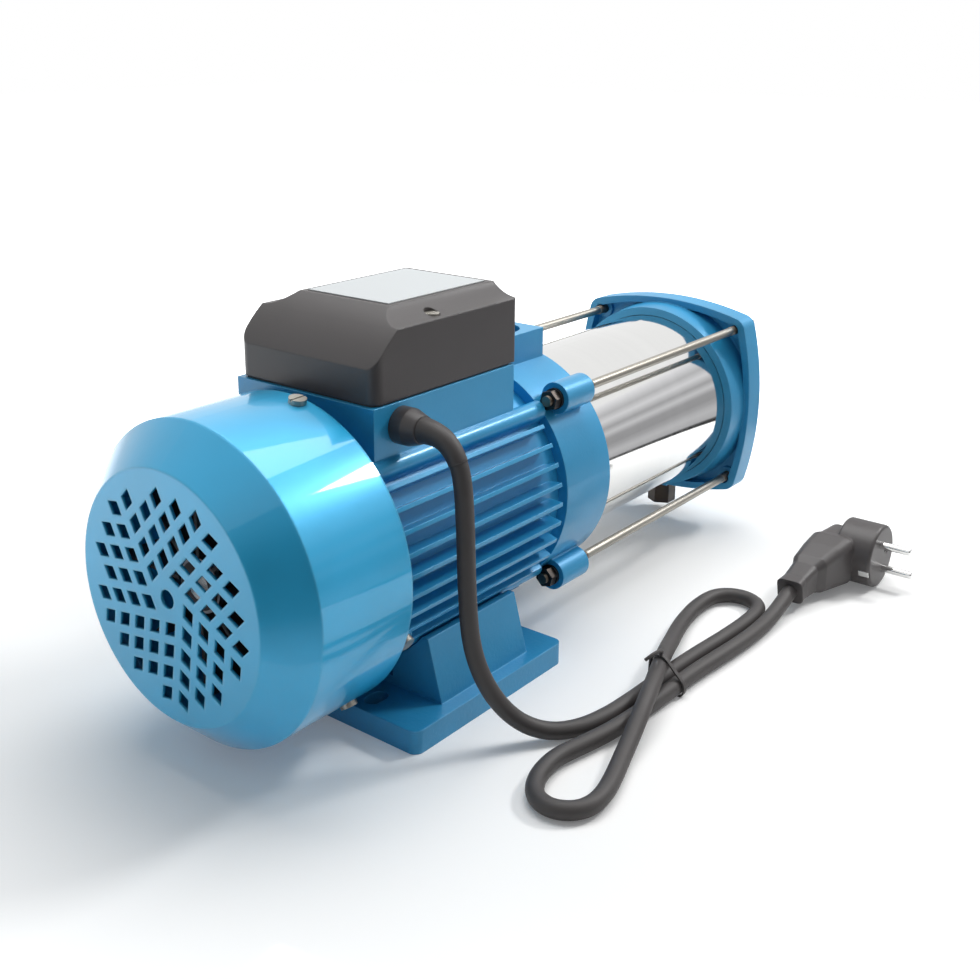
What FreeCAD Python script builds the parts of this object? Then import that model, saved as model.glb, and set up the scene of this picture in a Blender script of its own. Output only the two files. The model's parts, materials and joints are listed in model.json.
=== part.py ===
import FreeCAD, Part
import math
import os

os.makedirs("parts", exist_ok=True)

# Horizontal multistage pump with its motor, in millimetres.
# X runs along the shaft from the fan end to the suction end, Y to the side away from the cord, Z up.
# The origin is the centre of the foot's bolt pattern, on the sole.

# Main lengths along the shaft
axis_height = 91.0
housing_rear_to_foot = 75.0
housing_length = 150.0
bracket_length = 43.0
sleeve_exposed = 158.0
sleeve_seat_depth = 6.0
stage_count = 5

# Fits and clearances
slide_gap = 0.05
seat_gap = 0.03
running_gap = 0.5
ball_gap = 0.2
screw_gap = 0.3

# How far a cutter runs past the face that it opens, and how far joined pieces sink into each other
overrun = 1.0
weld_sink = 0.5
screw_slot_half = 0.45
screw_slot_depth = 1.1

# Cooling cowl
cowl_fin_gap = 9.0
cowl_length = 77.0
cowl_overlap = 7.0
cowl_wall = 1.5
cowl_chamfer_length = 19.0
grille_radius = 61.5
grille_sectors = 5
grille_pitch = 11.45
grille_hole_side = 6.9
grille_first_angle = 45.0
grille_start_along = -0.28
grille_start_across = 1.34
grille_reach = 51.0
grille_centre_radius = 4.6
cowl_screw_angles = (100.0, 238.5, 301.5)
cowl_screw_inset = 5.7
cowl_screw_radius = 2.5
cowl_screw_end_gap = 7.0
cowl_screw_head_radius = 4.4
cowl_screw_head_height = 2.6

# Motor housing
housing_bore = 58.0
housing_radius = 62.0
fin_tip_radius = 71.0
fin_count = 40
fin_thickness = 2.3
fin_end_gap = 9.0
fin_root_sink = 1.0
rib_radius = 5.5
tie_bolt_circle = 62.5
tie_bolt_radius = 2.5
tie_bolt_head_flat = 4.0
tie_bolt_head_height = 4.0
tie_bolt_thread_depth = 13.0
quarter_angle = 45.0
pad_drop = 74.0
pad_length = 64.0
pad_half_width = 34.0
rib_root_sink = 3.0
earth_screw_angle = 208.0
earth_screw_x = -57.0
earth_boss_radius = 5.0
earth_boss_reach = 73.0
earth_screw_radius = 2.0
earth_screw_head_radius = 3.8
earth_screw_head_height = 3.0
earth_screw_depth = 8.0
earth_boss_sink = 2.0

# Terminal box
box_rear = -57.0
box_length = 109.0
box_half_width = 47.0
box_tray_depth = 10.5
box_wall = 3.5
box_floor_cover = 4.0
box_floor_rise = 1.0
box_floor_half_width = 32.0
gasket_thickness = 1.0
gasket_width = 2.0
gasket_inset = 1.0
cover_rear_inset = 1.6
cover_side_inset = 0.5
cover_front_overhang = 3.0
cover_height = 41.0
cover_wall = 2.5
cover_corner_radius = 6.0
cover_front_corner_radius = 3.0
cover_hollow_front_radius = 0.8
cover_rear_wall_height = 17.0
cover_rear_slope_length = 28.0
cover_rear_bulge = 2.2
cover_shoulder_drop = 7.0
cover_top_half_width = 30.5
cover_shoulder_sag = 1.9
cover_screw_inset = 7.5
cover_screw_setback = 3.0
cover_screw_sink = 1.0
cover_screw_radius = 2.0
cover_screw_head_radius = 3.8
cover_screw_head_height = 2.4
cover_screw_grip = 14.0
cover_pillar_radius = 5.4
plate_thickness = 0.5
plate_margin = 3.0
plate_front_margin = 4.0
capacitor_radius = 15.0
capacitor_length = 62.0
capacitor_x = -28.0
capacitor_y = 14.0
capacitor_edge_radius = 1.5
block_length = 44.0
block_width = 20.0
block_height = 13.0
block_x = -18.0
block_y = -17.0
block_screw_rows = 3
block_screw_radius = 2.0
block_screw_head_radius = 3.2
block_screw_head_height = 2.2
block_screw_depth = 8.0

# Cable gland, on the side of the terminal box
gland_x = -38.0
gland_drop = 11.5
gland_length = 14.0
gland_radius = 9.3
gland_tip_radius = 7.0
gland_thread_radius = 6.5
gland_lip = 3.0
gland_thread_tip = 1.0
gland_nut_flat = 8.66
gland_nut_thickness = 4.0

# Foot
foot_length = 124.0
foot_width = 152.0
foot_plate_thickness = 12.6
foot_corner_radius = 5.0
pedestal_length = 72.0
pedestal_shift = 3.0
pedestal_height = 45.5
pedestal_top_half_width = 59.0
pedestal_foot_half_width = 68.0
saddle_gap = 0.4
foot_slot_spacing_x = 98.0
foot_slot_spacing_y = 76.0
foot_slot_width = 9.0
foot_slot_length = 14.0
foot_screw_spacing_x = 40.0
foot_screw_spacing_y = 44.0
foot_screw_radius = 4.0
foot_screw_head_radius = 6.5
foot_screw_head_height = 8.0
foot_screw_recess = 9.0
foot_screw_thread_depth = 14.0

# Stator and rotor
stator_length = 100.0
stator_rear_gap = 23.0
stator_bore = 32.5
slot_count = 24
slot_floor_radius = 47.0
slot_width = 4.6
slot_mouth_width = 1.8
slot_lip = 1.5
winding_overhang = 18.0
winding_outer_radius = 55.0
winding_inner_radius = 36.0
winding_gap = 0.25
rotor_air_gap = 0.6
core_bore_radius = 12.0
core_seat_overhang = 8.0
end_ring_length = 7.0
end_ring_radius = 28.0
end_ring_bore = 17.0

# Rear end shield and rear bearing
shield_thickness = 8.0
shield_radius = 66.0
shield_spigot_depth = 4.0
shield_spigot_wall = 5.0
shield_hub_radius = 27.0
shield_hub_back = 19.0
shield_lug_half_width = 7.0
shield_lug_setback = 2.0
shield_lug_root = 58.0
shield_shaft_hole_gap = 3.0
shield_ear_radius = 6.5
wave_washer_thickness = 1.5
wave_washer_width = 4.5
wave_washer_gap = 0.5
rear_bearing_radius = 20.0
rear_bearing_bore = 8.5
rear_bearing_width = 12.0
rear_ball_radius = 3.37
rear_bearing_back_wall = 2.0
bearing_ball_count = 8
race_shoulder_share = 0.72

# Front bearing, in the pump bracket
front_bearing_radius = 23.5
front_bearing_bore = 10.0
front_bearing_width = 14.0
front_ball_radius = 3.97
front_bearing_sink = 2.0
cage_rim = 0.8
cage_thickness = 1.5

# Pump bracket
bracket_radius = 68.0
bracket_chamber_radius = 54.0
bracket_wall_length = 18.0
bracket_hub_radius = 30.0
bracket_hub_length = 14.0
bearing_stop_thickness = 4.0
lantern_radius = 46.0
lantern_length = 7.0
lantern_bore = 18.0
weep_hole_radius = 4.0
sleeve_radius = 58.0
sleeve_wall = 1.0
sleeve_groove_gap = 0.2
sleeve_gasket_thickness = 1.0
tie_rod_spread = 52.5
lug_radius = 9.0
lug_back_step = 8.0
lug_front_step = 9.0
lug_web_half_width = 7.0
bracket_root_sink = 10.0
port_boss_side = 41.0
port_boss_height = 82.0
port_thread_radius = 15.15
port_thread_depth = 18.0
port_passage_radius = 12.0
priming_plug_angle = 62.0
priming_plug_setback = 12.0
priming_plug_radius = 5.0
priming_plug_flat = 7.0
priming_plug_head_height = 6.0
priming_plug_depth = 10.0
priming_boss_radius = 8.5
priming_boss_rise = 3.0

# Tie rods
tie_rod_radius = 3.0
tie_rod_shank_radius = 2.7
tie_rod_tail = 8.5
tie_rod_tip = 11.0
tie_rod_thread_show = 9.0
tie_rod_side_gap = 1.0
tie_nut_flat = 5.0
tie_nut_height = 5.0
tie_nut_tilt = 15.0
tie_washer_radius = 6.0
tie_washer_thickness = 1.5

# Suction body
suction_collar_radius = 63.5
suction_collar_root_radius = 65.5
suction_chamber_length = 27.0
suction_rim_setback = 16.0
suction_floor_setback = 24.0
suction_floor_thickness = 8.0
suction_side = 68.0
suction_corner = 59.5
suction_corner_radius = 9.0
suction_rim_wall = 4.5
suction_boss_radius = 6.3
suction_boss_rise = 2.0
inlet_hub_radius = 24.0
inlet_hub_length = 17.0
inlet_cone_radius = 40.0
inlet_cone_length = 8.0
inlet_passage_radius = 14.0
drain_setback = 25.0
drain_boss_half = 8.0
drain_boss_drop = 1.5
drain_boss_root = 2.0
drain_radius = 4.5
drain_depth = 12.0
drain_head_flat = 8.5
drain_head_height = 14.0

# Hydraulics
diffuser_radius = 56.7
diffuser_wall = 2.2
stage_channel = 7.0
diffuser_plate = 2.5
diffuser_plate_radius = 49.0
diffuser_vane_count = 8
diffuser_vane_inner = 16.0
eye_radius = 20.5
impeller_radius = 47.0
impeller_shroud = 2.0
impeller_blade_height = 7.0
impeller_blade_count = 6
impeller_blade_thickness = 1.8
impeller_blade_sweep = 55.0
impeller_blade_bend = 0.62
blade_tip_inset = 0.5
impeller_hub_radius = 11.0
impeller_hub_length = 18.0
impeller_neck_wall = 2.0
impeller_neck_gap = 0.8
spacer_radius = 10.0
hub_clearance = 0.6

# Shaft
fan_seat_radius = 7.0
fan_seat_length = 34.0
rear_bearing_shoulder = 2.5
shaft_body_radius = 11.0
seal_shaft_radius = 8.0
pump_shaft_radius = 7.0
shaft_thread_radius = 5.0
shaft_thread_length = 13.0
shaft_thread_start = 1.0
impeller_nut_flat = 8.5
impeller_nut_height = 7.0
seal_seat_radius = 13.0
seal_seat_bore = 9.0
seal_head_radius = 15.0
seal_head_length = 22.0
seal_nose_length = 4.0
seal_nose_step = 1.5
seal_collar_length = 2.0
slinger_radius = 15.0
slinger_thickness = 3.0
slinger_from_bearing = 6.0

# Cooling fan
fan_radius = 58.0
fan_hub_radius = 12.0
fan_disc_thickness = 2.5
fan_blade_count = 8
fan_blade_thickness = 2.0
fan_blade_root = 14.5
fan_blade_height = 24.0
fan_disc_from_shaft_step = 7.0
fan_clip_radius = 13.6
fan_clip_width = 3.0
fan_clip_inset = 1.0

# Cord and plug
cord_radius = 4.5
plug_face_y = -175.0
plug_x = 270.0
plug_z = 20.4
plug_radius = 20.0
plug_turn = -20.0
plug_depth = 24.0
plug_edge_radius = 2.0
plug_pin_radius = 2.4
plug_pin_length = 19.0
plug_pin_spacing = 19.0
plug_pin_root = 8.0
plug_contact_half_width = 2.0
plug_contact_length = 7.0
plug_contact_thickness = 1.4
plug_contact_gap = 0.3
plug_contact_inset = 0.5
plug_socket_offset = 8.0
plug_socket_radius = 3.2
plug_socket_wall = 0.6
plug_socket_depth = 12.0
plug_socket_inset = 0.6
plug_neck_corner_share = 0.45
tie_x = 70.0
tie_width = 2.4
tie_band = 0.9
tie_slack = 0.75
tie_tail_reach = 16.0
tie_tail_crown = 9.0
tie_tail_rise = 6.0
tie_tail_end_rise = 3.0
tie_tail_bow = 3.0
bundle_height = 25.0

# The plug's neck: how far past the cord's end, half its width and height there, and how far its middle
# lies aside and above the cord's
plug_neck = [
    (0.0, 8.0, 8.0, 0.0, 0.0),
    (6.0, 7.4, 7.6, 0.0, 0.8),
    (19.0, 8.4, 9.2, -0.4, 2.8),
    (24.0, 11.0, 11.2, -1.4, 4.0),
    (36.0, 12.8, 13.6, -3.2, 6.0),
    (47.0, 14.0, 15.4, -5.0, 7.4),
    (52.0, 13.0, 14.4, -6.0, 7.8),
    (66.0, 12.6, 14.6, -8.0, 8.4),
    (77.0, 8.0, 9.6, -10.6, 8.6),
]

# Stations along the shaft, and other places worked out from the lengths above
housing_rear = -housing_rear_to_foot
housing_front = housing_rear + housing_length
cowl_front = housing_rear + cowl_overlap
cowl_radius = fin_tip_radius + cowl_fin_gap
cowl_rear = cowl_front - cowl_length
bracket_front = housing_front + bracket_length
wet_wall_front = housing_front + bracket_wall_length
collar_rear = bracket_front + sleeve_exposed
suction_floor_rear = collar_rear + suction_floor_setback
suction_front = suction_floor_rear + suction_floor_thickness
inlet_face = suction_front + inlet_hub_length
stage_pitch = sleeve_exposed / stage_count
stator_rear = housing_rear + stator_rear_gap
stator_front = stator_rear + stator_length
shield_rear = housing_rear - shield_thickness
rear_bearing_rear = housing_rear - shield_hub_back + rear_bearing_back_wall + wave_washer_thickness
rear_bearing_front = rear_bearing_rear + rear_bearing_width
front_bearing_front = housing_front + front_bearing_sink
front_bearing_rear = front_bearing_front - front_bearing_width
lantern_rear = front_bearing_front + bearing_stop_thickness
lantern_front = lantern_rear + lantern_length
shaft_step = rear_bearing_rear - rear_bearing_shoulder
fan_end = shaft_step - fan_seat_length
seal_collar_front = wet_wall_front + seal_head_length + seal_collar_length
sleeve_rear = bracket_front - sleeve_seat_depth + sleeve_gasket_thickness
sleeve_front = collar_rear + sleeve_seat_depth - sleeve_gasket_thickness
cowl_screw_x = cowl_front - cowl_screw_inset
cowl_screw_end = housing_radius + cowl_screw_end_gap
cowl_screw_seat = cowl_radius - cowl_wall - slide_gap
lug_rear = housing_front + lug_back_step
lug_front = bracket_front - lug_front_step
port_centre_x = housing_front + port_boss_side / 2.0
priming_x = bracket_front - priming_plug_setback
priming_face = bracket_radius + priming_boss_rise
drain_face = axis_height - suction_side - drain_boss_drop
foot_seat_height = axis_height - pad_drop
box_floor_radius = housing_radius + box_floor_cover
box_floor_height = axis_height + box_floor_radius + box_floor_rise
box_top = box_floor_height + box_tray_depth
gland_z = box_top - gland_drop
cover_bottom = box_top + gasket_thickness
cover_top = cover_bottom + cover_height
cover_rear = box_rear + cover_rear_inset
cover_front = box_rear + box_length + cover_front_overhang
cover_half_width = box_half_width - cover_side_inset
cover_screw_spread = cover_half_width - cover_screw_inset
cover_centre_x = box_rear + box_length / 2.0 - cover_screw_setback
cover_screw_seat = cover_top - cover_shoulder_drop - cover_screw_sink
quarters = [quarter_angle + 90.0 * i for i in range(4)]

# The cord's route, from the gland to the plug. It lies on the floor in a tied bundle of three runs.
cord_route = [
    (gland_x, -61.0, gland_z), (gland_x, -71.0, gland_z), (gland_x, -80.0, gland_z - 7.0),
    (-37.7, -84.5, gland_z - 18.0),
    (-37.3, -86.0, 116.0), (-38.0, -87.5, 84.0), (-38.3, -90.0, 57.0), (-35.0, -94.5, 38.0),
    (-28.5, -101.0, 22.0), (-20.0, -108.5, 11.0), (-10.0, -117.5, 5.4), (2.5, -126.0, 4.7),
    (20.0, -130.8, 4.8), (45.0, -132.4, 4.7), (75.0, -132.7, 4.8), (105.0, -133.8, 4.7),
    (134.0, -136.4, 4.7), (162.0, -137.7, 4.7), (180.6, -136.3, 4.7), (188.6, -131.2, 4.7),
    (192.2, -122.4, 4.7), (190.2, -113.1, 4.7), (183.2, -106.7, 4.7), (173.8, -104.8, 4.7),
    (157.0, -105.2, 4.8), (134.0, -109.4, 5.0), (108.0, -118.4, 8.0), (84.0, -127.5, 13.4),
    (58.0, -137.4, 14.8), (35.0, -145.6, 14.2), (13.0, -151.8, 8.6), (-4.0, -156.2, 4.8),
    (-21.0, -162.0, 4.7), (-35.0, -166.0, 4.7), (-47.0, -166.8, 4.7), (-55.8, -162.8, 4.7),
    (-60.6, -154.2, 4.7), (-58.8, -144.8, 4.7), (-51.8, -138.2, 4.7), (-41.0, -133.8, 4.7),
    (-25.5, -132.0, 4.7), (-9.0, -135.8, 4.7),
    (10.0, -139.8, 4.8), (34.0, -141.8, 4.7), (63.0, -142.3, 4.8), (92.0, -143.0, 4.7),
    (120.0, -145.6, 4.7), (146.0, -147.2, 4.7), (170.0, -147.0, 5.2), (190.0, -145.6, 8.0),
    (204.0, -144.9, 11.6),
]


def vector(x, y, z):
    return FreeCAD.Vector(x, y, z)


def axis_point(x):
    return vector(x, 0.0, axis_height)


def box(x0, x1, y0, y1, z0, z1):
    return Part.makeBox(x1 - x0, y1 - y0, z1 - z0, vector(x0, y0, z0))


def rod_x(x0, x1, radius, y=0.0, z=axis_height):
    return Part.makeCylinder(radius, x1 - x0, vector(x0, y, z), vector(1, 0, 0))


def rod_y(y0, y1, radius, x, z):
    return Part.makeCylinder(radius, y1 - y0, vector(x, y0, z), vector(0, 1, 0))


def rod_z(z0, z1, radius, x, y):
    return Part.makeCylinder(radius, z1 - z0, vector(x, y, z0), vector(0, 0, 1))


def ring(x0, x1, outer, inner):
    return rod_x(x0, x1, outer).cut(rod_x(x0 - overrun, x1 + overrun, inner))


def turned(outline):
    """A solid of revolution about the shaft, from (x, radius) corners."""
    corners = [vector(x, 0.0, axis_height + radius) for x, radius in outline]
    face = Part.Face(Part.makePolygon(corners + corners[:1]))
    return face.revolve(axis_point(0.0), vector(1, 0, 0), 360.0)


def prism(corners, travel):
    """A straight prism from corner points and the vector that it runs along."""
    return Part.Face(Part.makePolygon(corners + corners[:1])).extrude(travel)


def turn(shape, degrees):
    copy = shape.copy()
    copy.rotate(axis_point(0.0), vector(1, 0, 0), degrees)
    return copy


def across(angle, radius):
    """Y and Z of a point at an angle about the shaft, counted from +Y towards +Z."""
    t = math.radians(angle)
    return radius * math.cos(t), axis_height + radius * math.sin(t)


def radial_rod(x, angle, inner, outer, radius):
    """A round rod that points straight out from the shaft."""
    rod = Part.makeCylinder(radius, outer - inner, vector(x, inner, axis_height), vector(0, 1, 0))
    return turn(rod, angle)


def hexagon(base, way, flat, tilt=0.0):
    """A six-sided head or nut that runs from base along way. flat is half its width over the flats."""
    side = vector(0, 1, 0) if way.x else vector(1, 0, 0)
    up = (way / way.Length).cross(side)
    reach = flat / math.cos(math.radians(30.0))
    corners = []
    for i in range(6):
        t = math.radians(tilt + 60.0 * i)
        corners.append(base + side * (reach * math.cos(t)) + up * (reach * math.sin(t)))
    return prism(corners, way)


def join(shapes):
    """One solid out of shapes that overlap or share faces."""
    result = shapes[0].multiFuse(shapes[1:]) if len(shapes) > 1 else shapes[0]
    return result.removeSplitter()


def cut_all(shape, tools):
    return shape.cut(Part.makeCompound(tools)) if tools else shape


def save(name, shape):
    """Writes one node. A list stays a group of separate solids."""
    pieces = shape if isinstance(shape, list) else [shape]
    solids = [solid for piece in pieces for solid in piece.Solids]
    whole = solids[0] if len(solids) == 1 else Part.makeCompound(solids)
    whole.exportStep("parts/" + name + ".step")
    state = "ok" if all(solid.isValid() for solid in solids) else "BAD"
    centre = vector(0, 0, 0)
    volume = sum(solid.Volume for solid in solids)
    for solid in solids:
        centre += solid.CenterOfMass * (solid.Volume / volume)
    print("%-24s %2d solid %s %9.0f mm3 centre %.0f %.0f %.0f"
          % (name, len(solids), state, volume, centre.x, centre.y, centre.z))
    return whole


def grille_holes():
    """Pinwheel of rhombic holes: five sectors, each a lattice along its two border directions."""
    step_angle = 360.0 / grille_sectors
    holes = []
    rows = int(grille_reach / grille_pitch) + 2
    for sector in range(grille_sectors):
        first = math.radians(grille_first_angle + sector * step_angle)
        second = first + math.radians(step_angle)
        for n in range(rows):
            for m in range(rows):
                along = (grille_start_along + n) * grille_pitch
                over = (grille_start_across + m) * grille_pitch
                side = along * math.cos(first) + over * math.cos(second)
                up = along * math.sin(first) + over * math.sin(second)
                if math.hypot(side, up) > grille_reach:
                    continue
                half = grille_hole_side / 2.0
                corners = []
                for a, b in ((-half, -half), (half, -half), (half, half), (-half, half)):
                    y = -(side + a * math.cos(first) + b * math.cos(second))
                    z = axis_height + up + a * math.sin(first) + b * math.sin(second)
                    corners.append(vector(cowl_rear - overrun, y, z))
                holes.append(prism(corners, vector(cowl_wall + 2.0 * overrun, 0, 0)))
    return holes


def make_fan_cowl():
    slope = math.hypot(cowl_chamfer_length, cowl_radius - grille_radius)
    wall_shift = cowl_wall * (slope - cowl_chamfer_length) / (cowl_radius - grille_radius)
    rear_shift = cowl_wall * (slope - (cowl_radius - grille_radius)) / cowl_chamfer_length
    inside = cowl_radius - cowl_wall
    cowl = turned([
        (cowl_rear, 0.0), (cowl_rear, grille_radius), (cowl_rear + cowl_chamfer_length, cowl_radius),
        (cowl_front, cowl_radius), (cowl_front, inside),
        (cowl_rear + cowl_chamfer_length + wall_shift, inside),
        (cowl_rear + cowl_wall, grille_radius - rear_shift), (cowl_rear + cowl_wall, 0.0),
    ])
    tools = grille_holes()
    tools.append(rod_x(cowl_rear - overrun, cowl_rear + cowl_wall + overrun, grille_centre_radius))
    for angle in cowl_screw_angles:
        tools.append(radial_rod(cowl_screw_x, angle, inside - overrun, cowl_radius + overrun,
                                cowl_screw_radius + screw_gap))
    return cut_all(cowl, tools)


def make_cowl_screws():
    screws = []
    for angle in cowl_screw_angles:
        head = radial_rod(cowl_screw_x, angle, cowl_radius, cowl_radius + cowl_screw_head_height,
                          cowl_screw_head_radius)
        shank = radial_rod(cowl_screw_x, angle, cowl_screw_end, cowl_radius + weld_sink,
                           cowl_screw_radius)
        slot = box(cowl_screw_x - cowl_screw_head_radius, cowl_screw_x + cowl_screw_head_radius,
                   cowl_radius + cowl_screw_head_height - screw_slot_depth,
                   cowl_radius + cowl_screw_head_height + overrun,
                   axis_height - screw_slot_half, axis_height + screw_slot_half)
        screws.append(join([head, shank]).cut(turn(slot, angle)))
    return screws


def make_rear_end_shield():
    hub_rear = housing_rear - shield_hub_back
    bearing_seat = rear_bearing_radius + seat_gap
    plate = rod_x(shield_rear, housing_rear, shield_radius)
    hub = rod_x(hub_rear, housing_rear, shield_hub_radius)
    spigot = ring(housing_rear, housing_rear + shield_spigot_depth, housing_bore - slide_gap,
                  housing_bore - shield_spigot_wall)
    parts = [plate, hub, spigot]
    for angle in cowl_screw_angles:
        lug = box(shield_rear, cowl_front - shield_lug_setback, shield_lug_root, cowl_screw_seat,
                  axis_height - shield_lug_half_width, axis_height + shield_lug_half_width)
        lug = lug.cut(box(housing_rear, cowl_front, 0.0, fin_tip_radius + slide_gap,
                          axis_height - shield_lug_half_width - overrun,
                          axis_height + shield_lug_half_width + overrun))
        lug = lug.common(rod_x(shield_rear, cowl_front, cowl_screw_seat))
        parts.append(turn(lug, angle))
    for angle in quarters:
        y, z = across(angle, tie_bolt_circle)
        parts.append(rod_x(shield_rear, housing_rear, shield_ear_radius, y, z))
    tools = [
        rod_x(hub_rear + rear_bearing_back_wall, housing_rear + overrun, bearing_seat),
        rod_x(hub_rear - overrun, housing_rear, rear_bearing_bore + shield_shaft_hole_gap),
    ]
    for angle in quarters:
        y, z = across(angle, tie_bolt_circle)
        tools.append(rod_x(shield_rear - overrun, housing_rear + overrun, tie_bolt_radius + screw_gap,
                           y, z))
    for angle in cowl_screw_angles:
        tools.append(radial_rod(cowl_screw_x, angle, cowl_screw_end - overrun, cowl_radius,
                                cowl_screw_radius + slide_gap))
    return cut_all(join(parts), tools)


def make_motor_tie_bolts():
    bolts = []
    for angle in quarters:
        y, z = across(angle, tie_bolt_circle)
        head = hexagon(vector(shield_rear, y, z), vector(-tie_bolt_head_height, 0, 0), tie_bolt_head_flat)
        shank = rod_x(shield_rear - overrun, housing_front + tie_bolt_thread_depth, tie_bolt_radius, y, z)
        bolts.append(join([head, shank]))
    return bolts


def fin_angles():
    """Angles of the fins that stand free of the terminal box and the quarter ribs."""
    step = 360.0 / fin_count
    box_side = math.degrees(math.asin(box_half_width / fin_tip_radius))
    angles = []
    for i in range(fin_count):
        angle = i * step
        if abs(angle - 90.0) < box_side - 0.5 * step:
            continue
        if min(abs(angle - quarter) for quarter in quarters) < 0.5 * step:
            continue
        angles.append(angle)
    return angles


def make_motor_housing():
    fin_front = housing_front - fin_end_gap
    parts = [rod_x(housing_rear, housing_front, housing_radius)]
    for angle in fin_angles():
        fin = box(housing_rear, fin_front, housing_radius - fin_root_sink, fin_tip_radius,
                  axis_height - fin_thickness / 2.0, axis_height + fin_thickness / 2.0)
        parts.append(turn(fin, angle))
    for angle in quarters:
        web = box(housing_rear, housing_front, housing_radius - rib_root_sink, fin_tip_radius - rib_radius,
                  axis_height - rib_radius, axis_height + rib_radius)
        y, z = across(angle, fin_tip_radius - rib_radius)
        parts.append(turn(web, angle))
        parts.append(rod_x(housing_rear, housing_front, rib_radius, y, z))
    parts.append(radial_rod(earth_screw_x, earth_screw_angle, housing_radius - earth_boss_sink,
                            earth_boss_reach, earth_boss_radius))
    parts.append(box(pedestal_shift - pad_length / 2.0, pedestal_shift + pad_length / 2.0,
                     -pad_half_width, pad_half_width, foot_seat_height, axis_height - housing_bore / 2.0))
    parts.append(box(box_rear, box_rear + box_length, -box_half_width, box_half_width,
                     axis_height + housing_bore / 2.0, box_top))
    shell = join(parts)
    cavity = box(box_rear + box_wall, box_rear + box_length - box_wall,
                 -box_half_width + box_wall, box_half_width - box_wall,
                 axis_height + housing_bore / 2.0, box_top + overrun)
    cavity = cavity.cut(rod_x(box_rear, box_rear + box_length, box_floor_radius))
    cavity = cavity.cut(box(box_rear, box_rear + box_length, -box_floor_half_width, box_floor_half_width,
                            axis_height, box_floor_height))
    for side in (-1.0, 1.0):
        cavity = cavity.cut(rod_z(axis_height, box_top, cover_pillar_radius, cover_centre_x,
                                  side * cover_screw_spread))
    tools = [cavity, rod_x(housing_rear - overrun, housing_front + overrun, housing_bore)]
    for angle in quarters:
        y, z = across(angle, tie_bolt_circle)
        tools.append(rod_x(housing_rear - overrun, housing_front + overrun, tie_bolt_radius + screw_gap,
                           y, z))
    for side in (-1.0, 1.0):
        tools.append(rod_z(box_top - cover_screw_grip - overrun, box_top + overrun,
                           cover_screw_radius + slide_gap, cover_centre_x, side * cover_screw_spread))
    tools.append(rod_y(-box_half_width - overrun, -box_half_width + box_wall + overrun,
                       gland_thread_radius + screw_gap, gland_x, gland_z))
    for x, y in foot_screw_places():
        tools.append(rod_z(foot_seat_height - overrun,
                           foot_seat_height + foot_screw_thread_depth + overrun,
                           foot_screw_radius + slide_gap, x, y))
    tools.append(radial_rod(earth_screw_x, earth_screw_angle,
                            earth_boss_reach - earth_screw_depth - overrun,
                            earth_boss_reach + overrun, earth_screw_radius + slide_gap))
    return cut_all(shell, tools)


def make_earth_screw():
    head = radial_rod(earth_screw_x, earth_screw_angle, earth_boss_reach,
                      earth_boss_reach + earth_screw_head_height, earth_screw_head_radius)
    shank = radial_rod(earth_screw_x, earth_screw_angle, earth_boss_reach - earth_screw_depth,
                       earth_boss_reach + weld_sink, earth_screw_radius)
    return join([head, shank])


def foot_screw_places():
    places = []
    for side_x in (-1.0, 1.0):
        for side_y in (-1.0, 1.0):
            places.append((pedestal_shift + side_x * foot_screw_spacing_x / 2.0,
                           side_y * foot_screw_spacing_y / 2.0))
    return places


def rounded_plate(x0, x1, y0, y1, z0, z1, radius, front_radius=None):
    """A plate with rounded upright corners. Those at its front end may have a radius of their own."""
    plate = box(x0, x1, y0, y1, z0, z1)
    upright = [edge for edge in plate.Edges
               if abs(edge.Vertexes[0].Z - edge.Vertexes[1].Z) > (z1 - z0) / 2.0]
    rear = [edge for edge in upright if edge.CenterOfMass.x < (x0 + x1) / 2.0]
    front = [edge for edge in upright if edge.CenterOfMass.x > (x0 + x1) / 2.0]
    if front_radius is None:
        return plate.makeFillet(radius, rear + front)
    plate = plate.makeFillet(radius, rear)
    front = [edge for edge in plate.Edges if len(edge.Vertexes) == 2
             and abs(edge.Vertexes[0].Z - edge.Vertexes[1].Z) > (z1 - z0) / 2.0
             and abs(edge.CenterOfMass.x - x1) < 0.001]
    return plate.makeFillet(front_radius, front)


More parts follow.
